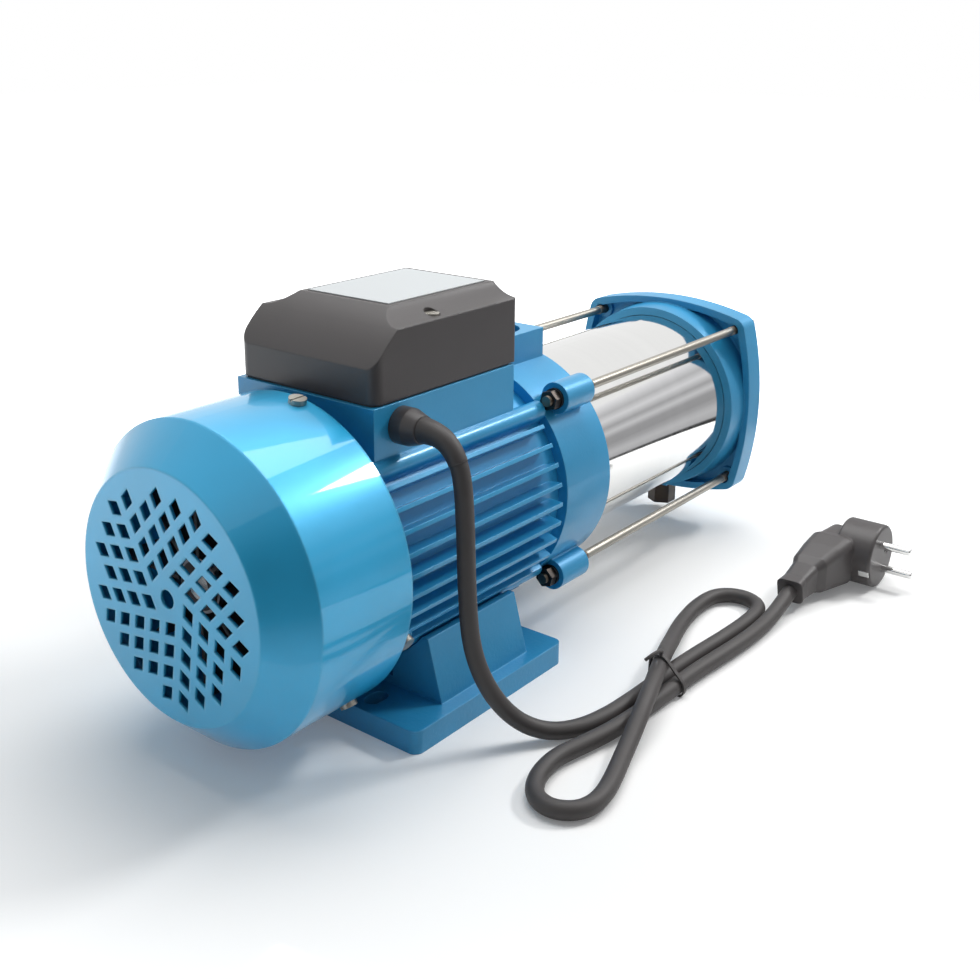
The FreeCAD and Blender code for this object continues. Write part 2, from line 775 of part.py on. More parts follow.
def make_foot():
    plate = rounded_plate(-foot_length / 2.0, foot_length / 2.0, -foot_width / 2.0, foot_width / 2.0,
                          0.0, foot_plate_thickness, foot_corner_radius)
    rear = pedestal_shift - pedestal_length / 2.0
    outline = [
        vector(rear, -pedestal_foot_half_width, foot_plate_thickness - overrun),
        vector(rear, pedestal_foot_half_width, foot_plate_thickness - overrun),
        vector(rear, pedestal_foot_half_width, foot_plate_thickness),
        vector(rear, pedestal_top_half_width, pedestal_height),
        vector(rear, -pedestal_top_half_width, pedestal_height),
        vector(rear, -pedestal_foot_half_width, foot_plate_thickness),
    ]
    pedestal = prism(outline, vector(pedestal_length, 0, 0))
    foot = join([plate, pedestal])
    saddle = rod_x(rear - overrun, rear + pedestal_length + overrun, fin_tip_radius + saddle_gap)
    seat = box(rear - overrun, rear + pedestal_length + overrun,
               -pad_half_width - overrun, pad_half_width + overrun,
               foot_seat_height, axis_height)
    tools = [saddle, seat]
    for x, y in foot_screw_places():
        tools.append(rod_z(-overrun, foot_seat_height + overrun, foot_screw_radius + screw_gap, x, y))
        tools.append(rod_z(-overrun, foot_screw_recess, foot_screw_head_radius + screw_gap, x, y))
    slot_run = (foot_slot_length - foot_slot_width) / 2.0
    for side_x in (-1.0, 1.0):
        for side_y in (-1.0, 1.0):
            x = side_x * foot_slot_spacing_x / 2.0
            y = side_y * foot_slot_spacing_y / 2.0
            half = foot_slot_width / 2.0
            tools.append(box(x - slot_run, x + slot_run, y - half, y + half,
                             -overrun, foot_plate_thickness + overrun))
            for end in (-slot_run, slot_run):
                tools.append(rod_z(-overrun, foot_plate_thickness + overrun, half, x + end, y))
    return cut_all(foot, tools)


def make_foot_screws():
    screws = []
    for x, y in foot_screw_places():
        head_bottom = foot_screw_recess - foot_screw_head_height
        head = rod_z(head_bottom, foot_screw_recess, foot_screw_head_radius, x, y)
        shank = rod_z(foot_screw_recess - overrun, foot_seat_height + foot_screw_thread_depth,
                      foot_screw_radius, x, y)
        socket = rod_z(head_bottom - overrun, head_bottom + foot_screw_head_height / 2.0,
                       foot_screw_head_radius / 2.0, x, y)
        screws.append(join([head, shank]).cut(socket))
    return screws


def slot_cutter(inner, floor, width):
    return box(stator_rear - overrun, stator_front + overrun, inner, floor,
               axis_height - width / 2.0, axis_height + width / 2.0)


def make_stator_core():
    core = ring(stator_rear, stator_front, housing_bore - slide_gap, stator_bore)
    tools = []
    for i in range(slot_count):
        angle = i * 360.0 / slot_count
        tools.append(turn(slot_cutter(stator_bore + slot_lip, slot_floor_radius, slot_width), angle))
        tools.append(turn(slot_cutter(stator_bore - overrun, stator_bore + slot_lip + overrun,
                                      slot_mouth_width),
                          angle))
    return cut_all(core, tools)


def make_stator_windings():
    parts = []
    for i in range(slot_count):
        coil = box(stator_rear - overrun, stator_front + overrun, winding_inner_radius + winding_gap,
                   slot_floor_radius - winding_gap,
                   axis_height - slot_width / 2.0 + winding_gap, axis_height + slot_width / 2.0 - winding_gap)
        parts.append(turn(coil, i * 360.0 / slot_count))
    bulge = winding_overhang / 3.0
    for face, way in ((stator_rear, -1.0), (stator_front, 1.0)):
        near = face + way * winding_gap
        far = face + way * winding_overhang
        parts.append(turned([
            (near, winding_inner_radius), (near, winding_outer_radius),
            (far - way * bulge, winding_outer_radius), (far, winding_outer_radius - bulge),
            (far, winding_inner_radius + bulge), (far - way * bulge, winding_inner_radius),
        ]))
    return join(parts)


def bearing_races(rear, width, outer_radius, bore, ball_radius):
    """Outer race, inner race and pitch radius of a deep groove ball bearing."""
    pitch = (outer_radius + bore) / 2.0
    shoulder = ball_radius * race_shoulder_share
    centre = rear + width / 2.0
    groove = Part.makeTorus(pitch, ball_radius + ball_gap, axis_point(centre), vector(1, 0, 0))
    outer = ring(rear, rear + width, outer_radius, pitch + shoulder).cut(groove)
    inner = ring(rear, rear + width, pitch - shoulder, bore).cut(groove)
    return outer, inner, pitch, centre


def ball_set(pitch, centre, ball_radius):
    """The balls and the cage that spaces them, as separate solids."""
    balls = []
    pockets = []
    for i in range(bearing_ball_count):
        y, z = across(i * 360.0 / bearing_ball_count, pitch)
        balls.append(Part.makeSphere(ball_radius, vector(centre, y, z)))
        pockets.append(Part.makeSphere(ball_radius + slide_gap, vector(centre, y, z)))
    half_width = ball_radius + slide_gap + cage_rim
    cage = ring(centre - half_width, centre + half_width,
                pitch + cage_thickness / 2.0, pitch - cage_thickness / 2.0)
    return balls + [cut_all(cage, pockets)]


def make_wave_washer():
    outer = rear_bearing_radius - wave_washer_gap
    return ring(rear_bearing_rear - wave_washer_thickness, rear_bearing_rear, outer,
                outer - wave_washer_width)


def make_pump_bracket():
    wall_bore = front_bearing_radius + seat_gap
    groove_inner = sleeve_radius - sleeve_wall - sleeve_groove_gap
    parts = [
        rod_x(housing_front, bracket_front, bracket_radius),
        rod_x(housing_front - bracket_hub_length, housing_front + overrun, bracket_hub_radius),
        ring(housing_front - shield_spigot_depth, housing_front + overrun, housing_bore - slide_gap,
             housing_bore - shield_spigot_wall),
    ]
    for side_y in (-1.0, 1.0):
        for side_z in (-1.0, 1.0):
            parts.append(rod_x(lug_rear, lug_front, lug_radius, side_y * tie_rod_spread,
                               axis_height + side_z * tie_rod_spread))
    reach = tie_rod_spread * math.sqrt(2.0)
    for angle in quarters:
        web = box(lug_rear, lug_front, bracket_radius - bracket_root_sink, reach,
                  axis_height - lug_web_half_width, axis_height + lug_web_half_width)
        parts.append(turn(web, angle))
    half = port_boss_side / 2.0
    parts.append(box(port_centre_x - half, port_centre_x + half, -half, half,
                     axis_height + bracket_radius - bracket_root_sink, axis_height + port_boss_height))
    parts.append(radial_rod(priming_x, priming_plug_angle, bracket_radius - bracket_root_sink,
                            priming_face, priming_boss_radius))
    body = join(parts)
    port_top = axis_height + port_boss_height
    tools = [
        rod_x(housing_front - bracket_hub_length - overrun, front_bearing_front, wall_bore),
        rod_x(front_bearing_front - overrun, lantern_rear + overrun, lantern_bore),
        rod_x(lantern_rear, lantern_front, lantern_radius),
        rod_x(lantern_front - overrun, wet_wall_front + overrun, seal_seat_radius + slide_gap),
        rod_x(wet_wall_front, bracket_front + overrun, bracket_chamber_radius),
        ring(bracket_front - sleeve_seat_depth, bracket_front + overrun, sleeve_radius + sleeve_groove_gap,
             groove_inner),
        rod_z(axis_height - bracket_radius - overrun, axis_height - lantern_radius + overrun,
              weep_hole_radius, (lantern_rear + lantern_front) / 2.0, 0.0),
        rod_z(port_top - port_thread_depth, port_top + overrun, port_thread_radius, port_centre_x, 0.0),
        rod_z(axis_height + bracket_chamber_radius - 2.0 * overrun, port_top, port_passage_radius,
              port_centre_x, 0.0),
        radial_rod(priming_x, priming_plug_angle, bracket_chamber_radius - overrun, priming_face + overrun,
                   priming_plug_radius + slide_gap),
    ]
    for angle in quarters:
        y, z = across(angle, tie_bolt_circle)
        tools.append(rod_x(housing_front - overrun, housing_front + tie_bolt_thread_depth + overrun,
                           tie_bolt_radius + slide_gap, y, z))
    for y, z in tie_rod_places():
        tools.append(rod_x(lug_rear - overrun, bracket_front + overrun, tie_rod_radius + screw_gap, y, z))
    return cut_all(body, tools)


def make_priming_plug():
    head = hexagon(vector(priming_x, priming_face, axis_height), vector(0, priming_plug_head_height, 0),
                   priming_plug_flat)
    shank = radial_rod(priming_x, priming_plug_angle, priming_face - priming_plug_depth,
                       priming_face + overrun, priming_plug_radius)
    return join([turn(head, priming_plug_angle), shank])


def tie_rod_places():
    places = []
    for side_y in (-1.0, 1.0):
        for side_z in (-1.0, 1.0):
            places.append((side_y * tie_rod_spread, axis_height + side_z * tie_rod_spread))
    return places


def make_tie_rods():
    boss_rear = suction_floor_rear - suction_boss_rise
    rods = []
    for y, z in tie_rod_places():
        tail = rod_x(lug_rear - tie_rod_tail, lug_front + tie_rod_thread_show, tie_rod_radius, y, z)
        shank = rod_x(lug_front, boss_rear, tie_rod_shank_radius, y, z)
        tip = rod_x(boss_rear - tie_rod_thread_show, suction_front + tie_rod_tip, tie_rod_radius, y, z)
        rods.append(join([tail, shank, tip]))
    return rods


def make_tie_rod_hardware():
    """Washers and nuts: behind each bracket lug and in front of the suction body."""
    washers = []
    nuts = []
    hole = tie_rod_radius + slide_gap
    for y, z in tie_rod_places():
        for face, way in ((lug_rear, -1.0), (suction_front, 1.0)):
            first = min(face, face + way * tie_washer_thickness)
            washer = rod_x(first, first + tie_washer_thickness, tie_washer_radius, y, z)
            nut_face = vector(face + way * tie_washer_thickness, y, z)
            nut = hexagon(nut_face, vector(way * tie_nut_height, 0, 0), tie_nut_flat, tie_nut_tilt)
            reach = tie_washer_thickness + tie_nut_height + overrun
            bore = rod_x(face - reach, face + reach, hole, y, z)
            washers.append(washer.cut(bore))
            nuts.append(nut.cut(bore))
    return washers, nuts


def make_sleeve():
    return ring(sleeve_rear, sleeve_front, sleeve_radius, sleeve_radius - sleeve_wall)


def make_sleeve_gaskets():
    outer = sleeve_radius + sleeve_groove_gap - slide_gap
    inner = sleeve_radius - sleeve_wall - sleeve_groove_gap + slide_gap
    first = ring(sleeve_rear - sleeve_gasket_thickness, sleeve_rear, outer, inner)
    second = ring(sleeve_front, sleeve_front + sleeve_gasket_thickness, outer, inner)
    return [first, second]


def bulged_square(x, side, corner, inset=0.0):
    """Closed wire of a square whose four sides bow outwards, in a plane across the shaft."""
    reach = side - inset
    tip = corner - inset
    edges = []
    ends = [(-tip, -tip), (tip, -tip), (tip, tip), (-tip, tip)]
    mids = [(0.0, -reach), (reach, 0.0), (0.0, reach), (-reach, 0.0)]
    for i in range(4):
        start = vector(x, ends[i][0], axis_height + ends[i][1])
        middle = vector(x, mids[i][0], axis_height + mids[i][1])
        finish = vector(x, ends[(i + 1) % 4][0], axis_height + ends[(i + 1) % 4][1])
        edges.append(Part.Arc(start, middle, finish).toShape())
    return Part.Wire(edges)


def bulged_block(x0, x1, inset, radius):
    block = Part.Face(bulged_square(x0, suction_side, suction_corner, inset)).extrude(vector(x1 - x0, 0, 0))
    corners = [edge for edge in block.Edges
               if abs(edge.Vertexes[0].X - edge.Vertexes[-1].X) > (x1 - x0) / 2.0]
    return block.makeFillet(radius, corners)


def make_suction_body():
    rim = collar_rear + suction_rim_setback
    boss_rear = suction_floor_rear - suction_boss_rise
    collar = turned([
        (collar_rear, 0.0), (collar_rear, suction_collar_radius),
        (suction_floor_rear + overrun, suction_collar_root_radius), (suction_floor_rear + overrun, 0.0),
    ])
    block = bulged_block(rim, suction_front, 0.0, suction_corner_radius)
    tray = bulged_block(rim - overrun, suction_floor_rear, suction_rim_wall,
                        suction_corner_radius - suction_rim_wall / 2.0)
    bosses = []
    for y, z in tie_rod_places():
        bosses.append(rod_x(boss_rear, suction_floor_rear + overrun, suction_boss_radius, y, z))
    drain_x = collar_rear + drain_setback
    drain_boss = box(drain_x - drain_boss_half, suction_front, -drain_boss_half, drain_boss_half,
                     drain_face, axis_height - bracket_chamber_radius - drain_boss_root)
    hub = turned([
        (suction_front - overrun, 0.0), (suction_front - overrun, inlet_cone_radius),
        (suction_front, inlet_cone_radius), (suction_front + inlet_cone_length, inlet_hub_radius),
        (inlet_face, inlet_hub_radius), (inlet_face, 0.0),
    ])
    body = join([block.cut(tray), collar, drain_boss, hub] + bosses)
    groove_inner = sleeve_radius - sleeve_wall - sleeve_groove_gap
    tools = [
        rod_x(collar_rear - overrun, collar_rear + suction_chamber_length, bracket_chamber_radius),
        ring(collar_rear - overrun, collar_rear + sleeve_seat_depth, sleeve_radius + sleeve_groove_gap,
             groove_inner),
        rod_x(collar_rear + suction_chamber_length - overrun, inlet_face, inlet_passage_radius),
        rod_x(inlet_face - port_thread_depth, inlet_face + overrun, port_thread_radius),
        rod_z(drain_face - overrun, axis_height - bracket_chamber_radius + overrun,
              drain_radius + slide_gap, drain_x, 0.0),
    ]
    for y, z in tie_rod_places():
        tools.append(rod_x(boss_rear - overrun, suction_front + overrun, tie_rod_radius + screw_gap, y, z))
        tools.append(rod_x(rim - overrun, boss_rear, tie_rod_radius + tie_rod_side_gap, y, z))
    return cut_all(body, tools)


def make_drain_plug():
    x = collar_rear + drain_setback
    face = drain_face
    head = hexagon(vector(x, 0.0, face), vector(0, 0, -drain_head_height), drain_head_flat)
    shank = rod_z(face - overrun, face + drain_depth, drain_radius, x, 0.0)
    return join([head, shank])


def stage_start(number):
    return bracket_front + number * stage_pitch


def make_diffuser(number):
    """One stage's bowl: outer ring, eye wall towards the suction, plate and return vanes."""
    start = stage_start(number)
    end = start + stage_pitch
    inner = diffuser_radius - diffuser_wall
    plate_rear = start + stage_channel
    plate_front = plate_rear + diffuser_plate
    parts = [
        ring(start, end, diffuser_radius, inner),
        ring(end - diffuser_plate, end, inner + weld_sink, eye_radius),
        ring(plate_rear, plate_front, diffuser_plate_radius, spacer_radius + hub_clearance),
    ]
    for i in range(diffuser_vane_count):
        vane = box(start, plate_front - weld_sink, diffuser_vane_inner, inner + weld_sink,
                   axis_height - diffuser_plate / 2.0, axis_height + diffuser_plate / 2.0)
        parts.append(turn(vane, i * 360.0 / diffuser_vane_count))
    return join(parts)


def blade(x0, x1, inner, outer, sweep, thickness):
    """A curved blade between two radii, swept back against the rotation."""
    def spot(radius, angle):
        y, z = across(angle, radius)
        return vector(x0, y, z)
    width_in = math.degrees(thickness / inner)
    width_out = math.degrees(thickness / outer)
    middle = (inner + outer) / 2.0
    width_mid = math.degrees(thickness / middle)
    bend = sweep * impeller_blade_bend
    front = Part.Arc(spot(inner, 0.0), spot(middle, bend), spot(outer, sweep)).toShape()
    tip = Part.LineSegment(spot(outer, sweep), spot(outer, sweep + width_out)).toShape()
    back = Part.Arc(spot(outer, sweep + width_out), spot(middle, bend + width_mid),
                    spot(inner, width_in)).toShape()
    root = Part.LineSegment(spot(inner, width_in), spot(inner, 0.0)).toShape()
    return Part.Face(Part.Wire([front, tip, back, root])).extrude(vector(x1 - x0, 0, 0))


def impeller_start(number):
    return stage_start(number) + stage_channel + diffuser_plate + hub_clearance


def make_impeller(number):
    """Closed impeller with its eye towards the suction end."""
    start = impeller_start(number)
    back = start + running_gap
    blades_rear = back + impeller_shroud
    blades_front = blades_rear + impeller_blade_height
    front = blades_front + impeller_shroud
    neck_outer = eye_radius - running_gap
    neck_inner = neck_outer - impeller_neck_wall
    bore = pump_shaft_radius + seat_gap
    neck_end = stage_start(number) + stage_pitch - impeller_neck_gap
    parts = [
        ring(start, start + impeller_hub_length, impeller_hub_radius, bore),
        ring(back, blades_rear, impeller_radius, bore),
        ring(blades_front, front, impeller_radius, neck_inner),
        ring(blades_front, neck_end, neck_outer, neck_inner),
    ]
    for i in range(impeller_blade_count):
        vane = blade(blades_rear - weld_sink, blades_front + weld_sink, neck_inner,
                     impeller_radius - blade_tip_inset,
                     impeller_blade_sweep, impeller_blade_thickness)
        parts.append(turn(vane, i * 360.0 / impeller_blade_count))
    return join(parts)


def make_impeller_spacers():
    bore = pump_shaft_radius + seat_gap
    spacers = []
    last_end = seal_collar_front
    for number in range(stage_count):
        start = impeller_start(number)
        spacers.append(ring(last_end, start, spacer_radius, bore))
        last_end = start + impeller_hub_length
    return spacers


def shaft_nut_face():
    return impeller_start(stage_count - 1) + impeller_hub_length


def make_shaft():
    thread_start = shaft_nut_face() - shaft_thread_start
    core_rear = stator_rear - core_seat_overhang
    core_front = stator_front + core_seat_overhang
    steps = [
        (fan_end, fan_seat_radius), (shaft_step, rear_bearing_bore - seat_gap),
        (rear_bearing_front, shaft_body_radius), (core_rear, core_bore_radius),
        (core_front, shaft_body_radius), (front_bearing_rear, front_bearing_bore - seat_gap),
        (lantern_rear, seal_shaft_radius),
        (seal_collar_front, pump_shaft_radius), (thread_start, shaft_thread_radius),
        (thread_start + shaft_thread_length, None),
    ]
    outline = [(fan_end, 0.0)]
    for (x, radius), (next_x, _) in zip(steps[:-1], steps[1:]):
        outline.append((x, radius))
        outline.append((next_x, radius))
    outline.append((steps[-1][0], 0.0))
    return turned(outline)


def make_impeller_nut():
    face = shaft_nut_face()
    nut = hexagon(axis_point(face), vector(impeller_nut_height, 0, 0), impeller_nut_flat)
    return nut.cut(rod_x(face - overrun, face + impeller_nut_height + overrun,
                         shaft_thread_radius + slide_gap))


def make_rotor_core():
    radius = stator_bore - rotor_air_gap
    bore = core_bore_radius + seat_gap
    core = ring(stator_rear, stator_front, radius, bore)
    rear = ring(stator_rear - end_ring_length, stator_rear, end_ring_radius, end_ring_bore)
    front = ring(stator_front, stator_front + end_ring_length, end_ring_radius, end_ring_bore)
    return join([core, rear, front])


def make_seal_seat():
    return ring(lantern_front, wet_wall_front, seal_seat_radius, seal_seat_bore)


def make_seal_head():
    face = wet_wall_front + slide_gap
    bore = seal_shaft_radius + seat_gap
    nose_front = face + seal_nose_length
    nose = ring(face, nose_front, seal_seat_radius - seal_nose_step, bore)
    body = ring(nose_front, wet_wall_front + seal_head_length, seal_head_radius, bore)
    return join([nose, body])


def make_water_slinger():
    start = front_bearing_front + slinger_from_bearing
    return ring(start, start + slinger_thickness, slinger_radius, seal_shaft_radius + seat_gap)


def make_cooling_fan():
    disc_front = shaft_step - fan_disc_from_shaft_step
    disc_rear = disc_front - fan_disc_thickness
    blades_rear = disc_rear - fan_blade_height
    bore = fan_seat_radius + seat_gap
    parts = [
        ring(disc_rear, disc_front, fan_radius, bore),
        ring(fan_end, disc_front, fan_hub_radius, bore),
    ]
    for i in range(fan_blade_count):
        vane = box(blades_rear, disc_rear + weld_sink, fan_blade_root, fan_radius,
                   axis_height - fan_blade_thickness / 2.0, axis_height + fan_blade_thickness / 2.0)
        parts.append(turn(vane, i * 360.0 / fan_blade_count))
    return join(parts)


def make_fan_clip():
    start = fan_end + fan_clip_inset
    return ring(start, start + fan_clip_width, fan_clip_radius, fan_hub_radius + seat_gap)


def cover_form(inset, bottom, rear_corner, front_corner):
    """The cover's outer form, or its hollow when inset: three prisms that cross each other."""
    rear = cover_rear + inset
    front = cover_front - inset
    half = cover_half_width - inset
    top = cover_top - inset
    bend = cover_bottom + cover_rear_wall_height
    crest = cover_rear + cover_rear_slope_length
    chord_x = (rear + crest) / 2.0
    chord_z = (bend + top) / 2.0
    run = math.hypot(crest - rear, top - bend)
    bulge_x = chord_x - cover_rear_bulge * (top - bend) / run
    bulge_z = chord_z + cover_rear_bulge * (crest - rear) / run
    side = [
        Part.LineSegment(vector(rear, -half, bottom), vector(rear, -half, bend)).toShape(),
        Part.Arc(vector(rear, -half, bend), vector(bulge_x, -half, bulge_z),
                 vector(crest, -half, top)).toShape(),
        Part.LineSegment(vector(crest, -half, top), vector(front, -half, top)).toShape(),
        Part.LineSegment(vector(front, -half, top), vector(front, -half, bottom)).toShape(),
        Part.LineSegment(vector(front, -half, bottom), vector(rear, -half, bottom)).toShape(),
    ]
    long_form = Part.Face(Part.Wire(side)).extrude(vector(0, 2.0 * half, 0))
    shoulder = top - cover_shoulder_drop
    flat = cover_top_half_width - inset
    middle_y = (half + flat) / 2.0
    middle_z = (shoulder + top) / 2.0 - cover_shoulder_sag
    section = [
        Part.LineSegment(vector(rear, -half, bottom), vector(rear, half, bottom)).toShape(),
        Part.LineSegment(vector(rear, half, bottom), vector(rear, half, shoulder)).toShape(),
        Part.Arc(vector(rear, half, shoulder), vector(rear, middle_y, middle_z),
                 vector(rear, flat, top)).toShape(),
        Part.LineSegment(vector(rear, flat, top), vector(rear, -flat, top)).toShape(),
        Part.Arc(vector(rear, -flat, top), vector(rear, -middle_y, middle_z),
                 vector(rear, -half, shoulder)).toShape(),
        Part.LineSegment(vector(rear, -half, shoulder), vector(rear, -half, bottom)).toShape(),
    ]
    cross_form = Part.Face(Part.Wire(section)).extrude(vector(front - rear, 0, 0))
    plan = rounded_plate(rear, front, -half, half, bottom, top, rear_corner, front_corner)
    return long_form.common(cross_form).common(plan)


def make_terminal_cover():
    outside = cover_form(0.0, cover_bottom, cover_corner_radius, cover_front_corner_radius)
    shell = outside.cut(cover_form(cover_wall, cover_bottom - overrun,
                                   cover_corner_radius - cover_wall, cover_hollow_front_radius))
    pillars = []
    tools = []
    for side in (-1.0, 1.0):
        y = side * cover_screw_spread
        pillar = rod_z(cover_bottom, cover_screw_seat, cover_pillar_radius, cover_centre_x, y)
        pillars.append(pillar.common(outside))
        tools.append(rod_z(cover_bottom - overrun, cover_top, cover_screw_radius + screw_gap,
                           cover_centre_x, y))
        tools.append(rod_z(cover_screw_seat, cover_top, cover_screw_head_radius + screw_gap,
                           cover_centre_x, y))
    return cut_all(join([shell] + pillars), tools)


def make_terminal_gasket():
    rear = cover_rear + gasket_inset
    front = box_rear + box_length - gasket_inset
    half = cover_half_width - gasket_inset
    outer = rounded_plate(rear, front, -half, half, box_top, cover_bottom,
                          cover_corner_radius - gasket_inset, cover_front_corner_radius)
    inner = rounded_plate(rear + gasket_width, front - gasket_width, -half + gasket_width,
                          half - gasket_width, box_top - overrun, cover_bottom + overrun,
                          cover_corner_radius - gasket_inset - gasket_width)
    gasket = outer.cut(inner)
    ears = []
    for side in (-1.0, 1.0):
        y = side * cover_screw_spread
        ear = rod_z(box_top, cover_bottom, cover_pillar_radius, cover_centre_x, y)
        ears.append(ear.common(box(rear, front, -half, half, box_top, cover_bottom)))
    holes = [rod_z(box_top - overrun, cover_bottom + overrun, cover_screw_radius + screw_gap,
                   cover_centre_x, side * cover_screw_spread) for side in (-1.0, 1.0)]
    return cut_all(join([gasket] + ears), holes)


def make_cover_screws():
    screws = []
    for side in (-1.0, 1.0):
        y = side * cover_screw_spread
        head = rod_z(cover_screw_seat, cover_screw_seat + cover_screw_head_height,
                     cover_screw_head_radius, cover_centre_x, y)
        shank = rod_z(box_top - cover_screw_grip, cover_screw_seat + weld_sink, cover_screw_radius,
                      cover_centre_x, y)
        slot = box(cover_centre_x - cover_screw_head_radius, cover_centre_x + cover_screw_head_radius,
                   y - screw_slot_half, y + screw_slot_half,
                   cover_screw_seat + cover_screw_head_height - screw_slot_depth, cover_top)
        screws.append(join([head, shank]).cut(slot))
    return screws


def make_rating_plate():
    half = cover_top_half_width - plate_margin
    return box(cover_rear + cover_rear_slope_length + plate_margin, cover_front - plate_front_margin,
               -half, half, cover_top, cover_top + plate_thickness)


def make_capacitor():
    z = box_floor_height + capacitor_radius + slide_gap
    body = rod_x(capacitor_x, capacitor_x + capacitor_length, capacitor_radius, capacitor_y, z)
    edges = [edge for edge in body.Edges if edge.Curve.TypeId == "Part::GeomCircle"]
    return body.makeFillet(capacitor_edge_radius, edges)


def make_terminal_block():
    block = box(block_x, block_x + block_length, block_y - block_width / 2.0, block_y + block_width / 2.0,
                box_floor_height, box_floor_height + block_height)
    holes = []
    for x, y in block_screw_places():
        holes.append(rod_z(box_floor_height + block_height - block_screw_depth - weld_sink,
                           box_floor_height + block_height + overrun, block_screw_radius + slide_gap, x, y))
    return cut_all(block, holes)


def block_screw_places():
    places = []
    for i in range(block_screw_rows):
        for side in (-1.0, 1.0):
            x = block_x + block_length * (i + 0.5) / block_screw_rows
            places.append((x, block_y + side * block_width / 4.0))
    return places


def make_terminal_screws():
    top = box_floor_height + block_height
    screws = []
    for x, y in block_screw_places():
        head = rod_z(top, top + block_screw_head_height, block_screw_head_radius, x, y)
        shank = rod_z(top - block_screw_depth, top + weld_sink, block_screw_radius, x, y)
        screws.append(join([head, shank]))
    return screws


def make_cable_gland():
    wall_face = -box_half_width
    tip = wall_face - gland_length
    collar = rod_y(wall_face - gland_length / 2.0, wall_face, gland_radius, gland_x, gland_z)
    nose = Part.makeCone(gland_radius, gland_tip_radius, gland_length / 2.0,
                         vector(gland_x, wall_face - gland_length / 2.0, gland_z), vector(0, -1, 0))
    thread_end = wall_face + box_wall + gland_nut_thickness + gland_thread_tip
    thread = rod_y(wall_face - overrun, thread_end, gland_thread_radius, gland_x, gland_z)
    bore = rod_y(tip + gland_lip, thread_end + overrun, cord_radius + screw_gap, gland_x, gland_z)
    return join([collar, nose, thread]).cut(bore)


def make_gland_nut():
    face = -box_half_width + box_wall
    nut = hexagon(vector(gland_x, face, gland_z), vector(0, gland_nut_thickness, 0), gland_nut_flat)
    return nut.cut(rod_y(face - overrun, face + gland_nut_thickness + overrun,
                         gland_thread_radius + slide_gap, gland_x, gland_z))


def cord_wire(points):
    """Straight runs joined by tangent arcs, as large as the runs allow. Prints each radius."""
    spots = [vector(*point) for point in points]
    edges = []
    radii = []
    length = 0.0
    current = spots[0]
    for before, corner, after in zip(spots[:-2], spots[1:-1], spots[2:]):
        arriving = corner - before
        leaving = after - corner
        shorter = min(arriving.Length, leaving.Length)
        arriving.normalize()
        leaving.normalize()
        half_turn = arriving.getAngle(leaving) / 2.0
        setback = 0.45 * shorter
        radius = setback / math.tan(half_turn)
        start = corner - arriving * setback
        finish = corner + leaving * setback
        bisector = leaving - arriving
        bisector.normalize()
        middle = corner + bisector * (radius / math.cos(half_turn) - radius)
        edges.append(Part.LineSegment(current, start).toShape())
        edges.append(Part.Arc(start, middle, finish).toShape())
        length += (start - current).Length + radius * 2.0 * half_turn
        radii.append(radius)
        current = finish
    edges.append(Part.LineSegment(current, spots[-1]).toShape())
    length += (spots[-1] - current).Length
    print("cord radii", " ".join("%.0f" % radius for radius in radii), "mm")
    return Part.Wire(edges), length


def make_power_cord():
    path, length = cord_wire(cord_route)
    start = vector(*cord_route[0])
    heading = vector(*cord_route[1]) - start
    section = Part.Wire(Part.makeCircle(cord_radius, start, heading))
    cord = path.makePipeShell([section], True, False)
    expected = math.pi * cord_radius ** 2 * length
    print("cord length %.0f mm, volume ratio %.5f" % (length, cord.Volume / expected))
    return cord


def neck_outline(half_width, half_height, centre, way):
    """A rectangle with round corners, standing square to a way that is near the X direction."""
    corner = plug_neck_corner_share * min(half_width, half_height)
    bend = corner * (1.0 - math.sqrt(0.5))
    corners = []
    for side, rise in ((1, 1), (-1, 1), (-1, -1), (1, -1)):
        first = vector(0, side * half_width, rise * (half_height - corner))
        middle = vector(0, side * (half_width - bend), rise * (half_height - bend))
        last = vector(0, side * (half_width - corner), rise * half_height)
        if side * rise < 0:
            first, last = last, first
        corners.append((first, middle, last))
    edges = []
    for (first, middle, last), (following, _, _) in zip(corners, corners[1:] + corners[:1]):
        edges.append(Part.Arc(first, middle, last).toShape())
        edges.append(Part.LineSegment(last, following).toShape())
    outline = Part.Wire(edges)
    outline.Placement = FreeCAD.Placement(centre, FreeCAD.Rotation(vector(1, 0, 0), way))
    return outline


def turned_in_plug(shape):
    """The plug lies a little rolled over, so what stands on its face turns about the face's middle."""
    shape.rotate(vector(plug_x, 0, plug_z), vector(0, 1, 0), plug_turn)
    return shape


def plug_pin_rod(y0, y1, radius, side):
    return turned_in_plug(rod_y(y0, y1, radius, plug_x, plug_z + side * plug_pin_spacing / 2.0))


def plug_socket_rod(y0, y1, radius):
    return turned_in_plug(rod_y(y0, y1, radius, plug_x + plug_socket_offset, plug_z))


